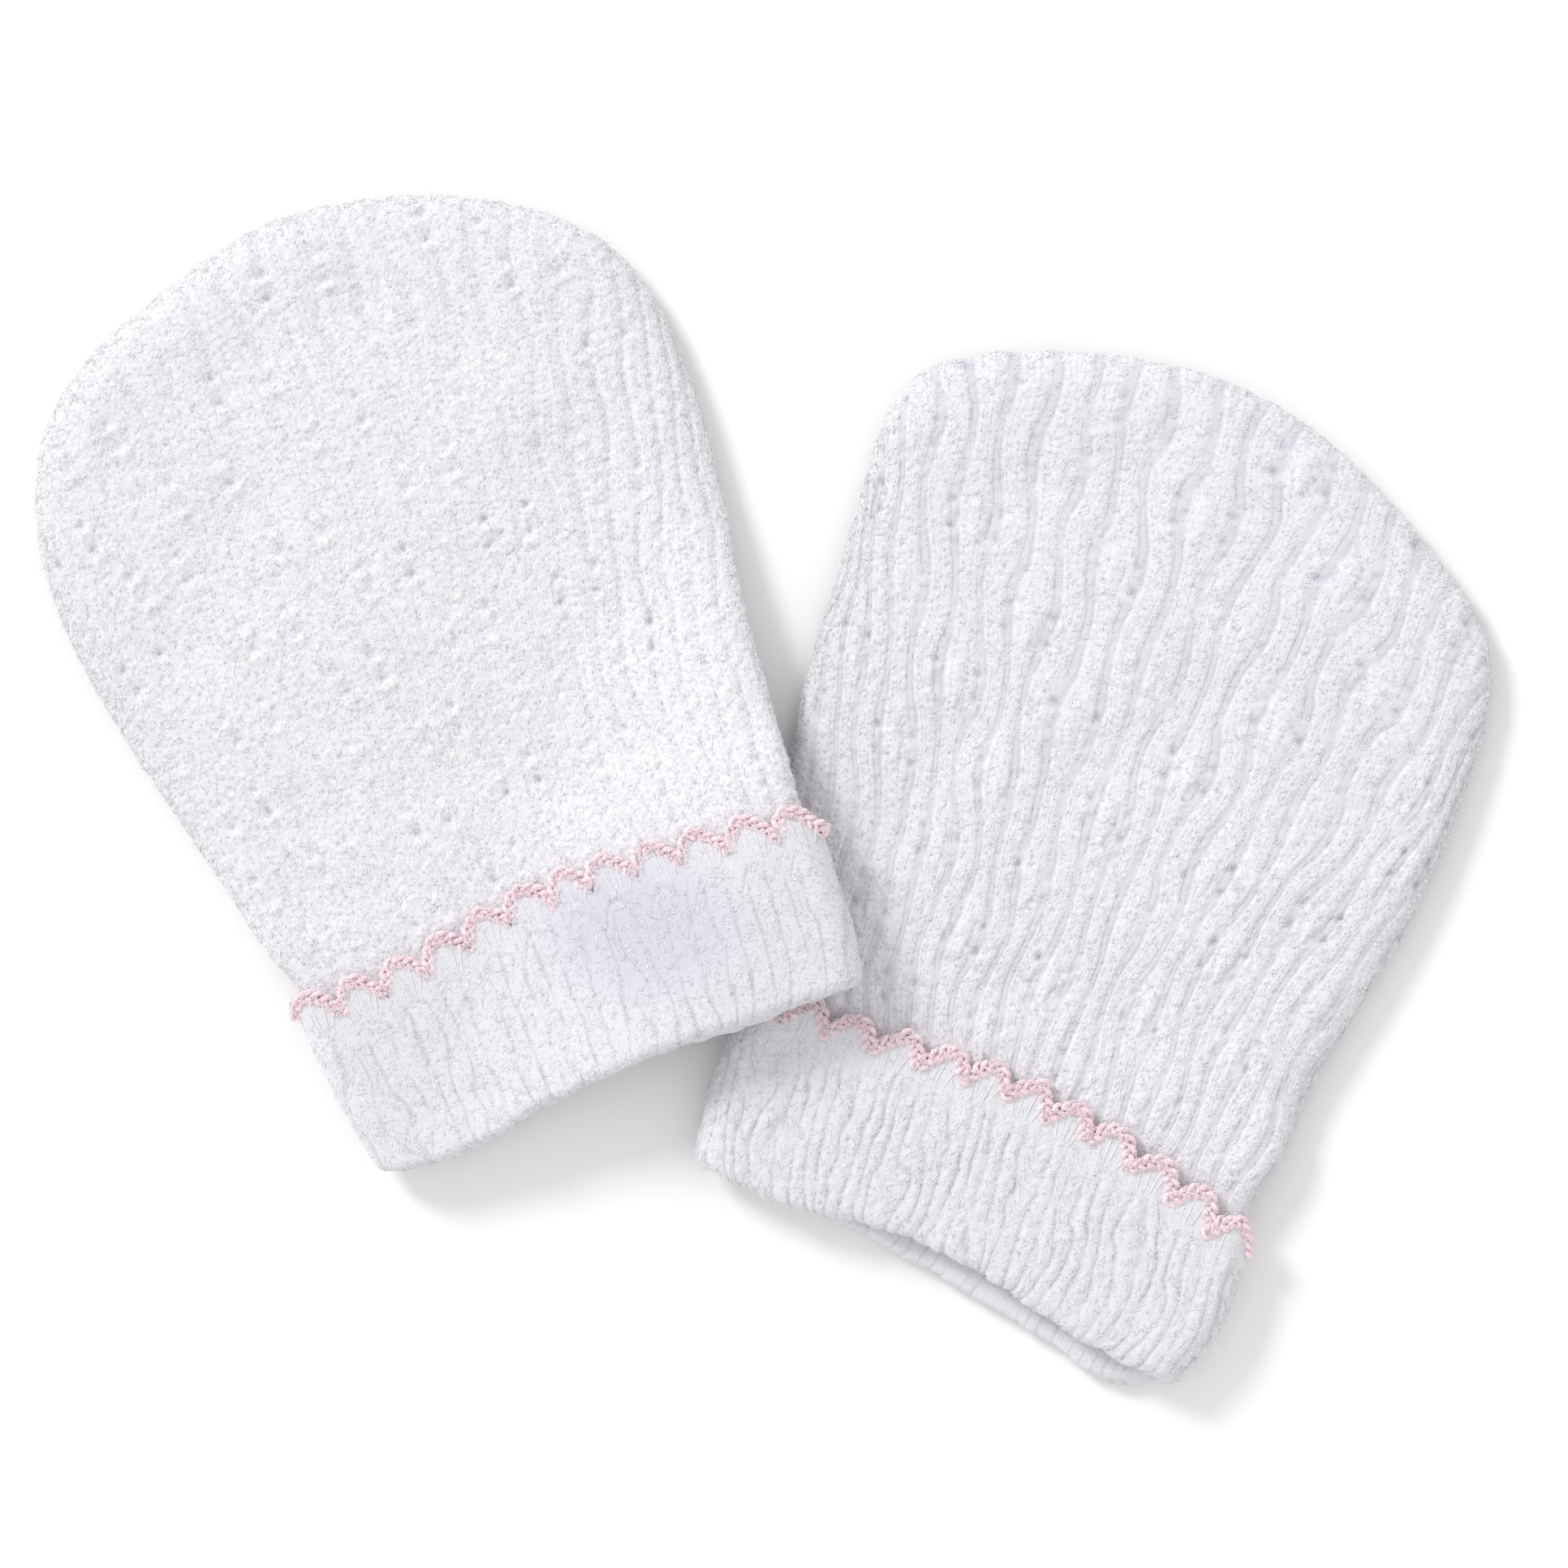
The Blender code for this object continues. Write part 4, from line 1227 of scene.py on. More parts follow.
def edging_line(mitten, share):
    """The edging's own line: arches that peak to one side, and points between them."""
    turn = SCALLOPS * (share + 1.0) / 2.0
    turn = turn + ARCH_DRIFT * soft_hills(share * 5.0 + 17, share * 0.0 + 2.0, mitten.seed)
    within = turn - np.floor(turn)
    peak = mitten.arch_peak
    rising = 0.5 * within / peak
    falling = 1.0 - 0.5 * (1.0 - within) / (1.0 - peak)
    arch = np.sin(math.pi * np.where(within < peak, rising, falling)) ** SCALLOP_ROUNDNESS
    uneven = soft_hills(share * 6.0 + 41, share * 0.0 + 6.0, mitten.seed)
    size = SCALLOP_HEIGHT * (1.0 + ARCH_RANGE * uneven)
    return edge_middle(mitten, share) + size * (arch - 0.5)


def cuff_place(mitten, share):
    """The x at a share of the half width, where the cuff ends."""
    left = -table_column(mitten.cuff, "along", "left", CUFF_TOP)
    right = table_column(mitten.cuff, "along", "right", CUFF_TOP)
    return mix(left, right, (np.asarray(share) + 1.0) / 2.0)


def cuff_row(mitten, front, shares, along, depth):
    """A row of points of the cuff, at a depth in from its outer face."""
    left = -table_column(mitten.cuff, "along", "left", along) + depth
    right = table_column(mitten.cuff, "along", "right", along) - depth
    x = mix(left, right, shares)
    seam = CUFF_SEAM + (SEAM_GAP / 2 if front else -SEAM_GAP / 2)
    inset = np.minimum(x - left, right - x)
    z = mix(seam, CUFF_TOTAL - depth if front else depth, edge_round(inset, CUFF_ROUND - depth))
    return np.stack([x, along, z], axis=-1)


def cuff_face(mitten, front, fold_radius, grid):
    """One face of the cuff: down its turned-up side, round the fold and up the leg inside."""
    shares = crowded_shares(CUFF_REFERENCE_WIDTH, CUFF_ROUND, grid.step)
    depth = FOLD_RADIUS - fold_radius
    level = np.full(len(shares), CUFF_TOP)
    x = cuff_row(mitten, front, shares, level, depth)[:, 0]
    share = np.interp(x, cuff_place(mitten, (-1.0, 1.0)), (-1.0, 1.0))
    top = edging_line(mitten, share) - UNDER_EDGING
    fold = table_column(mitten.folds, "share", "front" if front else "back", share) + FOLD_RADIUS
    apart = 3 if front else 9
    fold = fold + FOLD_UNEVEN * soft_hills(share * 14.0 + 31, share * 0.0 + apart, mitten.seed)
    rows = [
        cuff_row(mitten, front, shares, mix(top, fold, t), depth)
        for t in np.linspace(0.0, 1.0, grid.side_rows + 1)
    ]
    for turn in np.linspace(0.0, math.pi, grid.fold_rows + 1)[1:]:
        depth = FOLD_RADIUS - fold_radius * math.cos(turn)
        rows.append(cuff_row(mitten, front, shares, fold - fold_radius * math.sin(turn), depth))
    for t in np.linspace(0.0, 1.0, grid.leg_rows + 1)[1:]:
        along = mix(fold, np.full_like(share, LEG_END), t)
        rows.append(cuff_row(mitten, front, shares, along, FOLD_RADIUS + fold_radius))
    return np.array(rows), share


# %% Knit a cuff
CuffKnit = namedtuple("CuffKnit", "rib groove slant crumb wander")
CUFF_KNITS = {
    "left": CuffKnit(rib=0.06, groove=0.10, slant=0.03, crumb=0.06, wander=0.45),
    "right": CuffKnit(rib=0.14, groove=0.18, slant=-0.05, crumb=0.11, wander=0.70),
}
STITCH_LINE_BELOW = 4.8
STITCH_LINE_DEPTH = 0.15
SMOOTH_BAND = 0.35
CUFF_UNEVEN = 0.7
CUFF_GROOVE_PAINTED_SHADE = 0.4
CUFF_CRUMBS = (Crumb(share=0.6, across=3.1, along=1.9), Crumb(share=0.7, across=6.3, along=3.1))
# Painted shade laid over a whole cuff: the left one, raised higher into the light, is painted a little
# greyer.
CUFF_SHADE = {"left": 0.15, "right": 0.0}
BACK_CUFF_SUNK = 0.4


def cuff_relief(mitten, share, below_edge, front):
    """The relief of the cuff's narrow rib, the painted shade of its grooves, and each point's rib
    number.
    """
    knit = CUFF_KNITS[mitten.name]
    seed = mitten.seed + (50 if front else 60)
    ribs = CUFF_RIBS[mitten.name]
    rib = (share + 1.0) / 2.0 * ribs + knit.slant * below_edge
    rib = rib + knit.wander * soft_hills(share * 9.0 + 9, below_edge / 8.0, seed)
    rib = rib + 0.3 * knit.wander * soft_hills(rib * 0.9 + 5, below_edge / 2.6, seed + 5)
    phase = rib - np.floor(rib)
    to_groove = np.minimum(phase, 1.0 - phase)
    uneven = soft_hills(share * 12.0 + 21, below_edge / 3.5, seed + 1)
    height = knit.rib * (1.0 + CUFF_UNEVEN * uneven)
    groove = bell(to_groove, knit.groove)
    relief = height * (1.0 - groove)
    for number, crumb in enumerate(CUFF_CRUMBS):
        hills = soft_hills(rib * crumb.across, below_edge * crumb.along, seed + 3 + number)
        relief += knit.crumb * crumb.share * hills
    ribbed = smooth_step(STITCH_LINE_BELOW - 1.5, STITCH_LINE_BELOW, below_edge)
    relief *= mix(SMOOTH_BAND, 1.0, ribbed)
    if mitten.name == "left":
        stitched = bell(below_edge - STITCH_LINE_BELOW, 0.3)
        relief -= STITCH_LINE_DEPTH * stitched * (1.0 + 0.6 * uneven)
    # Painted shade: the cuff's grooves are painted darker, less so in the smooth band under the edging.
    shade = CUFF_GROOVE_PAINTED_SHADE * groove * np.clip(0.7 + 1.2 * uneven, 0.0, 1.6)
    shade = shade * mix(0.1, 1.0, ribbed)
    return relief, np.clip(shade + CUFF_SHADE[mitten.name], 0.0, 1.0), rib


def make_cuff(mitten, front):
    grid = FINE_CUFF if front else MEDIUM_CUFF
    points, share = cuff_face(mitten, front, FOLD_RADIUS, grid)
    normal = np.cross(np.gradient(points, axis=1), np.gradient(points, axis=0))
    normal /= np.linalg.norm(normal, axis=2)[..., None]
    middle = points.shape[1] // 2
    if (normal[2, middle, 2] > 0.0) != front:
        normal = -normal
    steps = np.linalg.norm(np.diff(points, axis=0), axis=2)
    below = np.vstack([np.zeros(points.shape[1]), np.cumsum(steps, axis=0)])
    share_grid = np.broadcast_to(share, below.shape)
    relief, shade, rib = cuff_relief(mitten, share_grid, below, front)
    row = np.arange(points.shape[0])[:, None]
    fold_end = grid.side_rows + grid.fold_rows
    outside = 1.0 - smooth_step(grid.side_rows + grid.fold_rows * 0.6, fold_end, row)
    relief = relief * outside * mix(0.6, 1.0, smooth_step(0.0, 1.2, below))
    if not front:
        relief = np.minimum(relief - BACK_CUFF_SUNK, 0.0) * outside
    outer = points + normal * relief[..., None]
    if not front:
        outer[..., 2] = np.maximum(outer[..., 2], 0.0)
    inner = cuff_face(mitten, front, FOLD_HOLLOW, COARSE_CUFF)[0]
    cloth = np.stack([rib * CUFF_PITCH, below], axis=2)
    tinted = front and mitten.name == "left"
    name = piece_name(mitten, front, "cuff_knit")
    pieces[name] = wall(name, mitten, outer, inner, cloth, shade * outside,
                        tinted_knit if tinted else cuff_knit)
    shows = outside * (0.35 + 0.65 * smooth_step(1.0, STITCH_LINE_BELOW, below))
    surfaces[name] = Surface(outer, normal, rib * 2.0, shows * (1.0 - 0.7 * shade))


for mitten in MITTENS:
    for side, front in SIDES:
        make_cuff(mitten, front)

# %% [markdown]
# ## Yarn along a path
#
# The pink edging and the white shell stitches under it are both yarn that follows a path. One
# kind of Geometry Nodes tree makes both: it takes lines of vertices, turns them into curves,
# plaits a number of strands along each curve and gives them a round section. A strand of a plait
# swings from side to side once while it goes up and down twice, which is what a cosine and a
# sine of twice the angle say. The strands are real geometry, so they show in the outline too.

# %% Build the yarn tree
PLAIT_HEIGHT = 0.5
UNEVEN_SCALE = 900.0
YARN_INPUTS = (
    ("Geometry", "NodeSocketGeometry", None),
    ("Strand Radius", "NodeSocketFloat", 0.0003),
    ("Twist Radius", "NodeSocketFloat", 0.0003),
    ("Twist Length", "NodeSocketFloat", 0.0016),
    ("Step", "NodeSocketFloat", 0.0002),
    ("Sides", "NodeSocketInt", 5),
    ("Uneven", "NodeSocketFloat", 0.3),
    ("Yarn", "NodeSocketMaterial", None),
)


def make_yarn_tree(strands):
    tree = bpy.data.node_groups.new(f"yarn of {strands} strands", "GeometryNodeTree")
    tree.interface.new_socket("Geometry", in_out="OUTPUT", socket_type="NodeSocketGeometry")
    for name, kind, value in YARN_INPUTS:
        socket = tree.interface.new_socket(name, in_out="INPUT", socket_type=kind)
        if value is not None:
            socket.default_value = value
    given = tree.nodes.new("NodeGroupInput").outputs
    curve = add_node(tree, "GeometryNodeMeshToCurve", {"Mesh": given["Geometry"]})
    fine = add_node(tree, "GeometryNodeResampleCurve",
                    {"Curve": curve.outputs[0], "Length": given["Step"]}, mode="LENGTH")
    upright = add_node(tree, "GeometryNodeSetCurveNormal", {"Curve": fine.outputs[0]}, mode="Z_UP")
    along = add_node(tree, "GeometryNodeSplineParameter", {})
    tangent = add_node(tree, "GeometryNodeInputTangent", {}).outputs[0]
    normal = add_node(tree, "GeometryNodeInputNormal", {}).outputs[0]
    across = vector(tree, "CROSS_PRODUCT", tangent, normal)
    rough = add_node(tree, "ShaderNodeTexNoise", {"Scale": UNEVEN_SCALE, "Detail": 1.0}).outputs["Fac"]
    uneven = maths(tree, "MULTIPLY", maths(tree, "SUBTRACT", rough, 0.5), given["Uneven"])
    radius = maths(tree, "MULTIPLY", given["Twist Radius"], maths(tree, "ADD", uneven, 1.0))
    joined = add_node(tree, "GeometryNodeJoinGeometry", {})
    section = add_node(tree, "GeometryNodeCurvePrimitiveCircle",
                       {"Resolution": given["Sides"], "Radius": given["Strand Radius"]})
    for strand in range(strands):
        turns = maths(tree, "DIVIDE", along.outputs["Length"], given["Twist Length"])
        angle = maths(tree, "MULTIPLY", maths(tree, "ADD", turns, strand / strands), 2.0 * math.pi)
        swing = maths(tree, "MULTIPLY", radius, maths(tree, "COSINE", angle))
        sideways = vector(tree, "SCALE", normal, swing)
        twice = maths(tree, "MULTIPLY", angle, 2.0)
        lifted = maths(tree, "MULTIPLY", maths(tree, "SINE", twice), PLAIT_HEIGHT)
        upwards = vector(tree, "SCALE", across, maths(tree, "MULTIPLY", radius, lifted))
        plaited = add_node(tree, "GeometryNodeSetPosition",
                           {"Geometry": upright.outputs[0],
                            "Offset": vector(tree, "ADD", sideways, upwards)})
        tube = add_node(tree, "GeometryNodeCurveToMesh",
                        {"Curve": plaited.outputs[0], "Profile Curve": section.outputs["Curve"],
                         "Fill Caps": True})
        tree.links.new(tube.outputs[0], joined.inputs[0])
    real = add_node(tree, "GeometryNodeRealizeInstances", {"Geometry": joined.outputs[0]})
    coloured = add_node(tree, "GeometryNodeSetMaterial",
                        {"Geometry": real.outputs[0], "Material": given["Yarn"]})
    smooth = add_node(tree, "GeometryNodeSetShadeSmooth", {"Geometry": coloured.outputs[0]})
    tree.links.new(smooth.outputs[0], tree.nodes.new("NodeGroupOutput").inputs[0])
    return tree


# %% Run a tree on lines and keep the plain mesh
def lines_mesh(name, lines):
    """A mesh of loose edges, one chain of vertices for each line of points in metres."""
    edges = []
    start = 0
    for line in lines:
        edges += [(start + k, start + k + 1) for k in range(len(line) - 1)]
        start += len(line)
    data = bpy.data.meshes.new(name)
    data.from_pydata(np.concatenate(lines).tolist(), edges, [])
    return data


def grow(name, data, tree, values):
    """Runs a Geometry Nodes tree on a mesh and returns an object with the finished plain mesh."""
    source = bpy.data.objects.new(name + "_source", data)
    bpy.context.scene.collection.objects.link(source)
    modifier = source.modifiers.new("grow", "NODES")
    modifier.node_group = tree
    for item in tree.interface.items_tree:
        if item.in_out == "INPUT" and item.name in values:
            modifier[item.identifier] = values[item.name]
    bpy.context.view_layer.update()
    evaluated = source.evaluated_get(bpy.context.evaluated_depsgraph_get())
    finished = bpy.data.meshes.new_from_object(evaluated)
    bpy.data.objects.remove(source)
    finished.name = name
    return add_object(name, finished)


# %% [markdown]
# ### The yarns' own materials
#
# The edging's yarn is a soft pink with paler plies, since its fibres let light through. Its
# colour changes a little from place to place, in patches of a few stitches. The white sewing
# yarn is smoother than the knit and catches more light. Loose fibres get a much simpler
# material: each is thinner than any pattern, and there are so many that it has to be quick.

# %% Dye the yarns
PINK = (0.97, 0.66, 0.745, 1.0)
PALE_PINK = (0.985, 0.82, 0.87, 1.0)
PLY_HEIGHT = 0.012
PLY_PALENESS = 0.45
PATCH_PALENESS = 0.6
FLUFF_DRIFT = 0.5


def make_yarn_material(name, deep, pale, roughness, fibre_size, scatter=0.0):
    material, tree, shader = new_material(name)
    place = millimetres(tree)
    fibres = add_group(tree, FIBRE_GROUP, place, Size=fibre_size)
    share = maths(tree, "ADD", maths(tree, "MULTIPLY", fibres.outputs["Height"], PLY_PALENESS),
                  maths(tree, "MULTIPLY", fibres.outputs["Patches"], PATCH_PALENESS))
    tree.links.new(mixed(tree, share, deep, pale), shader.inputs["Base Color"])
    height = maths(tree, "MULTIPLY", fibres.outputs["Height"], PLY_HEIGHT)
    bumped(tree, shader, height)
    matte(shader, roughness, 0.35, sheen=0.3)
    if scatter:
        scatter_light(shader, scatter)
    return material


def make_fluff_material(name, deep, pale, roughness):
    """Single fibres are too thin to show plies, so their colour only drifts from place to place."""
    material, tree, shader = new_material(name)
    drift = noise(tree, millimetres(tree), FLUFF_DRIFT, 0.0)
    tree.links.new(mixed(tree, drift["Fac"], deep, pale), shader.inputs["Base Color"])
    matte(shader, roughness, 0.35, sheen=0.3)
    return material


pink_yarn = make_yarn_material("pink_edging_yarn", PINK, PALE_PINK, 0.7, 0.35, 0.3)
sewing_yarn = make_yarn_material("white_sewing_yarn", WHITE, FIBRE_WHITE, 0.75, 0.4)
print("yarns:", pink_yarn.name, "and", sewing_yarn.name)

# %% [markdown]
# ### The pink edging
#
# It runs along the scallops of the cuff's free edge and wraps round the sides to meet the
# edging of the other panel. Three loosely plaited strands give it the look of a crocheted chain.
# The plait is uneven, so that some loops stand out and others sink in.

# %% Crochet the edging
CORD_CLEAR = 0.8
RIB_ALLOWANCE = {"left": 0.2, "right": 0.45}
EDGING_STEPS = 28
EDGING_WANDER = 0.16
SEAM_OVERLAP = 0.5
yarn_triple = make_yarn_tree(3)
yarn_single = make_yarn_tree(1)
edging_paths = {}


def edging_path(mitten, front):
    share = np.linspace(-1.0, 1.0, SCALLOPS * EDGING_STEPS + 1)
    along = edging_line(mitten, share)
    hills = soft_hills(share * 30.0 + 33, share * 0.0 + 5.0, mitten.seed + 7)
    along = along + EDGING_WANDER * hills
    x = cuff_place(mitten, share)
    inset = np.minimum(x - x[0], x[-1] - x)
    top = CUFF_TOTAL - LAYER + RIB_ALLOWANCE[mitten.name] + CORD_CLEAR
    height = top if front else LAYER - CORD_CLEAR
    seam = CUFF_SEAM + (SEAM_OVERLAP if front else -SEAM_OVERLAP)
    z = mix(seam, height, edge_round(inset, CUFF_ROUND))
    return np.stack([x, along, z], axis=1)


for mitten in MITTENS:
    for side, front in SIDES:
        name = piece_name(mitten, front, "pink_edging")
        path = edging_path(mitten, front)
        path_length = np.linalg.norm(np.diff(path, axis=0), axis=1).sum()
        print(name, "length in mm:", round(float(path_length), 1))
        edging_paths[name] = path
        pieces[name] = grow(name, lines_mesh(name, [placed(mitten, path)]), yarn_triple, {
            "Strand Radius": 0.00036, "Twist Radius": 0.00064, "Twist Length": 0.0034,
            "Step": 0.0002, "Sides": 5, "Uneven": 1.5, "Yarn": pink_yarn,
        })

# %% [markdown]
# ### The shell stitches
#
# Under each arch of the edging a few white strands spread from the valley line to the arch. They
# lie nearly flush in the smooth band there. Each is one single strand, so the same tree makes it
# without a twist.

# %% Fan the shell stitches out
FAN_STRANDS = 4
FAN_STEPS = 5
FAN_FOOT = 1.2
FAN_JITTER = 0.08
FAN_HEAD_WIDTH = 0.86
FAN_FOOT_WIDTH = 0.5
FAN_BULGE = 0.06
UNDER_ARCH = 0.25
BACK_FAN_HEIGHT = 0.25


def fan_lines(mitten, front):
    lines = []
    pitch = 2.0 / SCALLOPS
    chance = np.random.default_rng(mitten.seed + 90)
    for scallop in range(SCALLOPS):
        centre = -1.0 + (scallop + 0.5) * pitch
        foot = edge_middle(mitten, centre) - SCALLOP_HEIGHT / 2.0 - FAN_FOOT
        for strand in range(FAN_STRANDS):
            jitter = chance.uniform(-FAN_JITTER, FAN_JITTER)
            spread = (strand + 0.5) / FAN_STRANDS - 0.5 + jitter
            head = centre + spread * pitch * FAN_HEAD_WIDTH
            base = centre + spread * pitch * FAN_FOOT_WIDTH
            t = np.linspace(0.0, 1.0, FAN_STEPS + 1)
            share = mix(base, head, t)
            x = cuff_place(mitten, share)
            along = mix(foot, edging_line(mitten, np.asarray(head)) - UNDER_ARCH, t)
            inset = np.minimum(x - cuff_place(mitten, -1.0), cuff_place(mitten, 1.0) - x)
            bulge = FAN_BULGE * np.sin(math.pi * t)
            height = CUFF_TOTAL + bulge if front else BACK_FAN_HEIGHT - bulge * 0.3
            z = mix(CUFF_SEAM, height, edge_round(inset, CUFF_ROUND))
            lines.append(placed(mitten, np.stack([x, along, z], axis=1)))
    return lines


for mitten in MITTENS:
    for side, front in SIDES:
        name = piece_name(mitten, front, "shell_stitches")
        pieces[name] = grow(name, lines_mesh(name, fan_lines(mitten, front)), yarn_single, {
            "Strand Radius": 0.0001, "Twist Radius": 0.0, "Twist Length": 0.002,
            "Step": 0.0006, "Sides": 5, "Uneven": 0.0, "Yarn": sewing_yarn,
        })

# %% [markdown]
# ## Yarn legs and loose fibres
#
# Seen closely, cotton knit is thousands of short bent legs of yarn, with finer fibres standing off
# them. Bump alone can't catch the light from the side as they do, so the fronts get real ones:
# spindles with two points and a three-sided middle, six faces each. On a panel they lean to the
# left or the right of the rib by turns, as the two legs of a stitch do. They lie at random places,
# which are drawn by area so that they are equally thick everywhere, thinner in the grooves and
# holes. Loose fibres are longer and thinner, lie any way round, and stand up a little.

# %% Scatter spindles over a surface
Fibres = namedtuple("Fibres", "count length width lift lean spread stand")
SPINDLE = ((0, 1, 2), (0, 2, 3), (0, 3, 1), (4, 2, 1), (4, 3, 2), (4, 1, 3))
SPINDLE_POINTS = 5
FIBRE_SINK = 0.03
SPINDLE_TOP = 0.3
SPINDLE_SIDE = 0.5
SPINDLE_LOW = 0.15
MOST_BEND = 0.25
LENGTHS = (0.6, 1.3)
WIDTHS = (0.7, 1.2)
LIFTS = (0.4, 1.3)


def drawn_spots(surface, count, chance):
    """Random spots on a grid, even over its area times its weight: cells and shares in them."""
    p = surface.points
    areas = np.linalg.norm(np.cross(p[1:, 1:] - p[:-1, :-1], p[1:, :-1] - p[:-1, 1:]), axis=2)
    odds = (areas * surface.weight[:-1, :-1]).ravel()
    cells = chance.choice(len(odds), count, p=odds / odds.sum())
    i, j = np.divmod(cells, p.shape[1] - 1)
    return i, j, chance.random(count), chance.random(count)


def at_spots(grid, spots):
    i, j, u, v = spots
    if grid.ndim == 3:
        u = u[:, None]
        v = v[:, None]
    low = mix(grid[i, j], grid[i, j + 1], v)
    return mix(low, mix(grid[i + 1, j], grid[i + 1, j + 1], v), u)


def unit(vectors):
    return vectors / np.maximum(np.linalg.norm(vectors, axis=1), 1e-9)[:, None]


def spindle_points(places, normal, direction, kind, chance):
    """Five points for each spindle: its start, the three of its middle, and its end."""
    across = np.cross(normal, direction)
    count = len(places)
    length = kind.length * chance.uniform(*LENGTHS, count)[:, None]
    width = kind.width * chance.uniform(*WIDTHS, count)[:, None]
    bend = across * length * chance.uniform(-MOST_BEND, MOST_BEND, count)[:, None]
    rise = normal * kind.lift * chance.uniform(*LIFTS, count)[:, None]
    middle = places + rise + bend
    start = places - direction * length / 2.0 - normal * FIBRE_SINK
    end = places + direction * length / 2.0 + normal * (kind.stand * length - FIBRE_SINK)
    return np.stack([
        start,
        middle + normal * width * SPINDLE_TOP,
        middle + across * width * SPINDLE_SIDE - normal * width * SPINDLE_LOW,
        middle - across * width * SPINDLE_SIDE - normal * width * SPINDLE_LOW,
        end,
    ], axis=1)


def scatter(surface, kind, chance):
    spots = drawn_spots(surface, kind.count, chance)
    places = at_spots(surface.points, spots)
    normal = unit(at_spots(surface.normal, spots))
    along = unit(at_spots(np.gradient(surface.points, axis=0), spots))
    across = np.cross(normal, along)
    wale = at_spots(surface.rib, spots)
    side = np.where(wale - np.floor(wale) < 0.5, -1.0, 1.0)
    turn = np.radians(kind.lean * side + kind.spread * chance.normal(0.0, 1.0, kind.count))
    direction = along * np.cos(turn)[:, None] + across * np.sin(turn)[:, None]
    return spindle_points(places, normal, direction, kind, chance)


def spindles(name, mitten, groups, material):
    """One joined mesh of every spindle in the groups."""
    points = placed(mitten, np.concatenate(groups).reshape(-1, 3))
    starts = np.arange(0, len(points), SPINDLE_POINTS)[:, None, None]
    faces = (starts + np.array(SPINDLE)[None]).reshape(-1, 3)
    data = bpy.data.meshes.new(name)
    data.from_pydata(points.tolist(), [], faces.tolist())
    data.shade_smooth()
    data.materials.append(material)
    return add_object(name, data)


# %% Cover the fronts and the cuffs
LEG = Fibres(count=10000, length=0.85, width=0.16, lift=0.06, lean=30.0, spread=28.0, stand=0.0)
LOOSE = Fibres(count=2500, length=1.2, width=0.09, lift=0.18, lean=0.0, spread=90.0, stand=0.3)
PANEL_FIBRES = {
    "left": (LEG._replace(count=12500, lean=32.0, spread=32.0), LOOSE._replace(count=3200)),
    "right": (LEG._replace(count=11500, lean=28.0, spread=24.0), LOOSE._replace(count=2800)),
}
CUFF_FIBRES = (LEG._replace(count=3400, lean=30.0, spread=28.0), LOOSE._replace(count=900))
fibre_white = make_fluff_material("white_fibres", FIBRE_SHADE, FIBRE_LIGHT, 0.85)

for mitten in MITTENS:
    chance = np.random.default_rng(mitten.seed + 70)
    for part, kinds in (("knit", PANEL_FIBRES[mitten.name]), ("cuff_knit", CUFF_FIBRES)):
        name = f"{mitten.name}_front_{part}_fibres"
        surface = surfaces[f"{mitten.name}_front_{part}"]
        groups = [scatter(surface, kind, chance) for kind in kinds]
        pieces[name] = spindles(name, mitten, groups, fibre_white)

# %% [markdown]
# The edging is fluffy too. Its fibres lie on the cord's upper half, any way round, and are a
# paler pink than the cord.

# %% Fluff the edging
EDGING_FLUFF = LOOSE._replace(count=2600, length=0.8, width=0.12, lift=0.14, stand=0.15)
EDGING_RADIUS = 0.82
FLUFF_FROM = -0.1 * math.pi
FLUFF_TO = 1.1 * math.pi
PALEST_PINK = (0.99, 0.90, 0.93, 1.0)
fluff_pink = make_fluff_material("pink_fluff", PALE_PINK, PALEST_PINK, 0.75)


def fluff_round(path, kind, chance):
    at = chance.uniform(0.0, len(path) - 1.001, kind.count)
    i = at.astype(int)
    centre = mix(path[i], path[i + 1], (at - i)[:, None])
    along = unit(path[i + 1] - path[i])
    across = unit(np.cross((0.0, 0.0, 1.0), along))
    angle = chance.uniform(FLUFF_FROM, FLUFF_TO, kind.count)[:, None]
    normal = unit(across * np.cos(angle) + np.cross(along, across) * np.sin(angle))
    turn = chance.uniform(0.0, 2.0 * math.pi, kind.count)[:, None]
    direction = along * np.cos(turn) + np.cross(normal, along) * np.sin(turn)
    return spindle_points(centre + normal * EDGING_RADIUS, normal, direction, kind, chance)


for mitten in MITTENS:
    name = f"{mitten.name}_front_pink_fluff"
    chance = np.random.default_rng(mitten.seed + 80)
    path = edging_paths[f"{mitten.name}_front_pink_edging"]
    pieces[name] = spindles(name, mitten, [fluff_round(path, EDGING_FLUFF, chance)], fluff_pink)

# %% [markdown]
# ## The floor and the light
#
# The photo is a white table under a large soft light from the upper left. A sun with a wide
# angle gives the same soft shadow everywhere, and a white sky fills it. The floor is bright
# enough to come out pure white where nothing shades it.

# %% Lay the floor and light it
FLOOR_SIZE = 3.0
FLOOR_WHITE = (0.93, 0.93, 0.935, 1.0)
FLOOR_SHADE = tuple(0.99 * c for c in FLOOR_WHITE[:3]) + (1.0,)
FLOOR_BELOW = 0.2
SUN_STRENGTH = 1.7
SUN_ANGLE = 16.0
SUN_ELEVATION = 33.0
SUN_FROM = 135.0
SKY_STRENGTH = 0.87


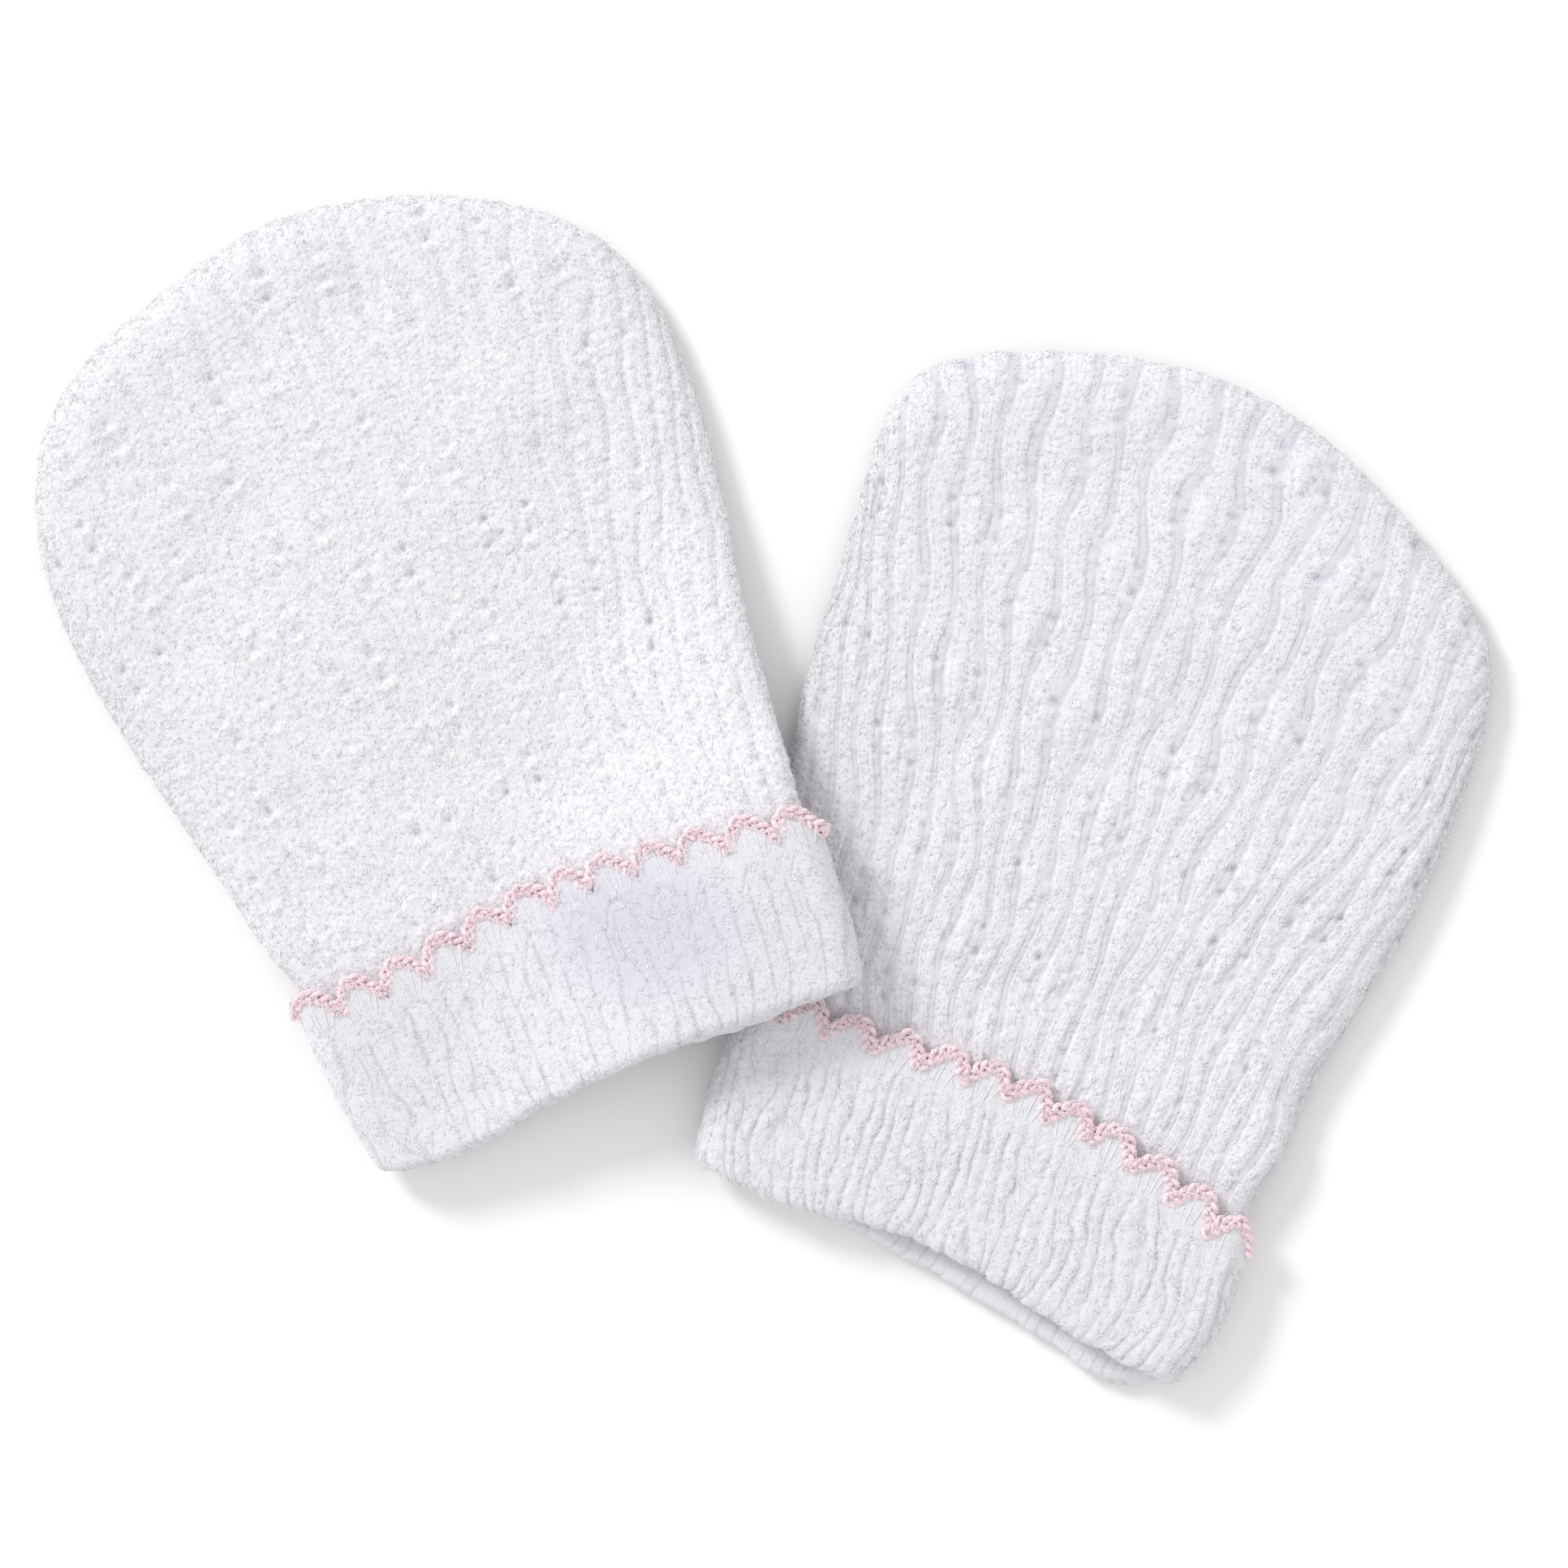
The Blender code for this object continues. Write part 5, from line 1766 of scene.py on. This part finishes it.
def make_floor():
    data = bpy.data.meshes.new("floor")
    half = FLOOR_SIZE / 2.0
    data.from_pydata([(-half, -half, 0), (half, -half, 0), (half, half, 0), (-half, half, 0)],
                     [], [(0, 1, 2, 3)])
    material, tree, shader = new_material("white_table")
    grain = add_node(tree, "ShaderNodeTexNoise", {"Scale": 40.0, "Detail": 3.0})
    colour = mixed(tree, grain.outputs["Fac"], FLOOR_WHITE, FLOOR_SHADE)
    tree.links.new(colour, shader.inputs["Base Color"])
    matte(shader, 0.85, 0.1)
    data.materials.append(material)
    floor = bpy.data.objects.new("floor", data)
    floor.location.z = -FLOOR_BELOW * MILLIMETRE
    bpy.context.scene.collection.objects.link(floor)


def make_light():
    data = bpy.data.lights.new("window", "SUN")
    data.energy = SUN_STRENGTH
    data.angle = math.radians(SUN_ANGLE)
    lamp = bpy.data.objects.new("window", data)
    lamp.rotation_euler = (0.0, math.radians(90.0 - SUN_ELEVATION), math.radians(SUN_FROM))
    bpy.context.scene.collection.objects.link(lamp)
    world = bpy.data.worlds.new("studio")
    world.use_nodes = True
    sky = world.node_tree.nodes["Background"]
    sky.inputs["Color"].default_value = (1.0, 1.0, 1.0, 1.0)
    sky.inputs["Strength"].default_value = SKY_STRENGTH
    bpy.context.scene.world = world
    bpy.context.scene.view_settings.view_transform = "Standard"


make_floor()
make_light()
print("sun:", SUN_STRENGTH, "sky:", SKY_STRENGTH)

# %% [markdown]
# ## Handing over
#
# Every piece is attached to the body that carries it, and the imported solids that it stands for
# are hidden.


def hand_over(mitten, side, front):
    edging = pieces[f"{mitten.name}_{side}_pink_edging"]
    shells = pieces[f"{mitten.name}_{side}_shell_stitches"]
    panel = pieces[f"{mitten.name}_{side}_knit"]
    cuff = pieces[f"{mitten.name}_{side}_cuff_knit"]
    slots = {panel: "pointelle_knit", cuff: "cuff_knit", shells: "cuff_knit", edging: "edging_yarn"}
    cuff_extras = [edging, shells]
    if front:
        fibres = pieces[f"{mitten.name}_front_knit_fibres"]
        cuff_fibres = pieces[f"{mitten.name}_front_cuff_knit_fibres"]
        fluff = pieces[f"{mitten.name}_front_pink_fluff"]
        slots.update({fibres: "pointelle_knit", cuff_fibres: "cuff_knit", fluff: "edging_yarn"})
        cuff_extras += [cuff_fibres, fluff]
    for piece, slot in slots.items():
        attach(piece, "root")
    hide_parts(f"{mitten.name}_{side}")
    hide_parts(f"{mitten.name}_{side}_cuff")
    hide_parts(f"{mitten.name}_{side}_edging")
    face_points = panel_face(mitten, WALL / 2.0, front, COARSE).points
    face_points = cuff_face(mitten, front, FOLD_RADIUS / 2, COARSE_CUFF)[0]


for mitten in MITTENS:
    for side, front in SIDES:
        hand_over(mitten, side, front)
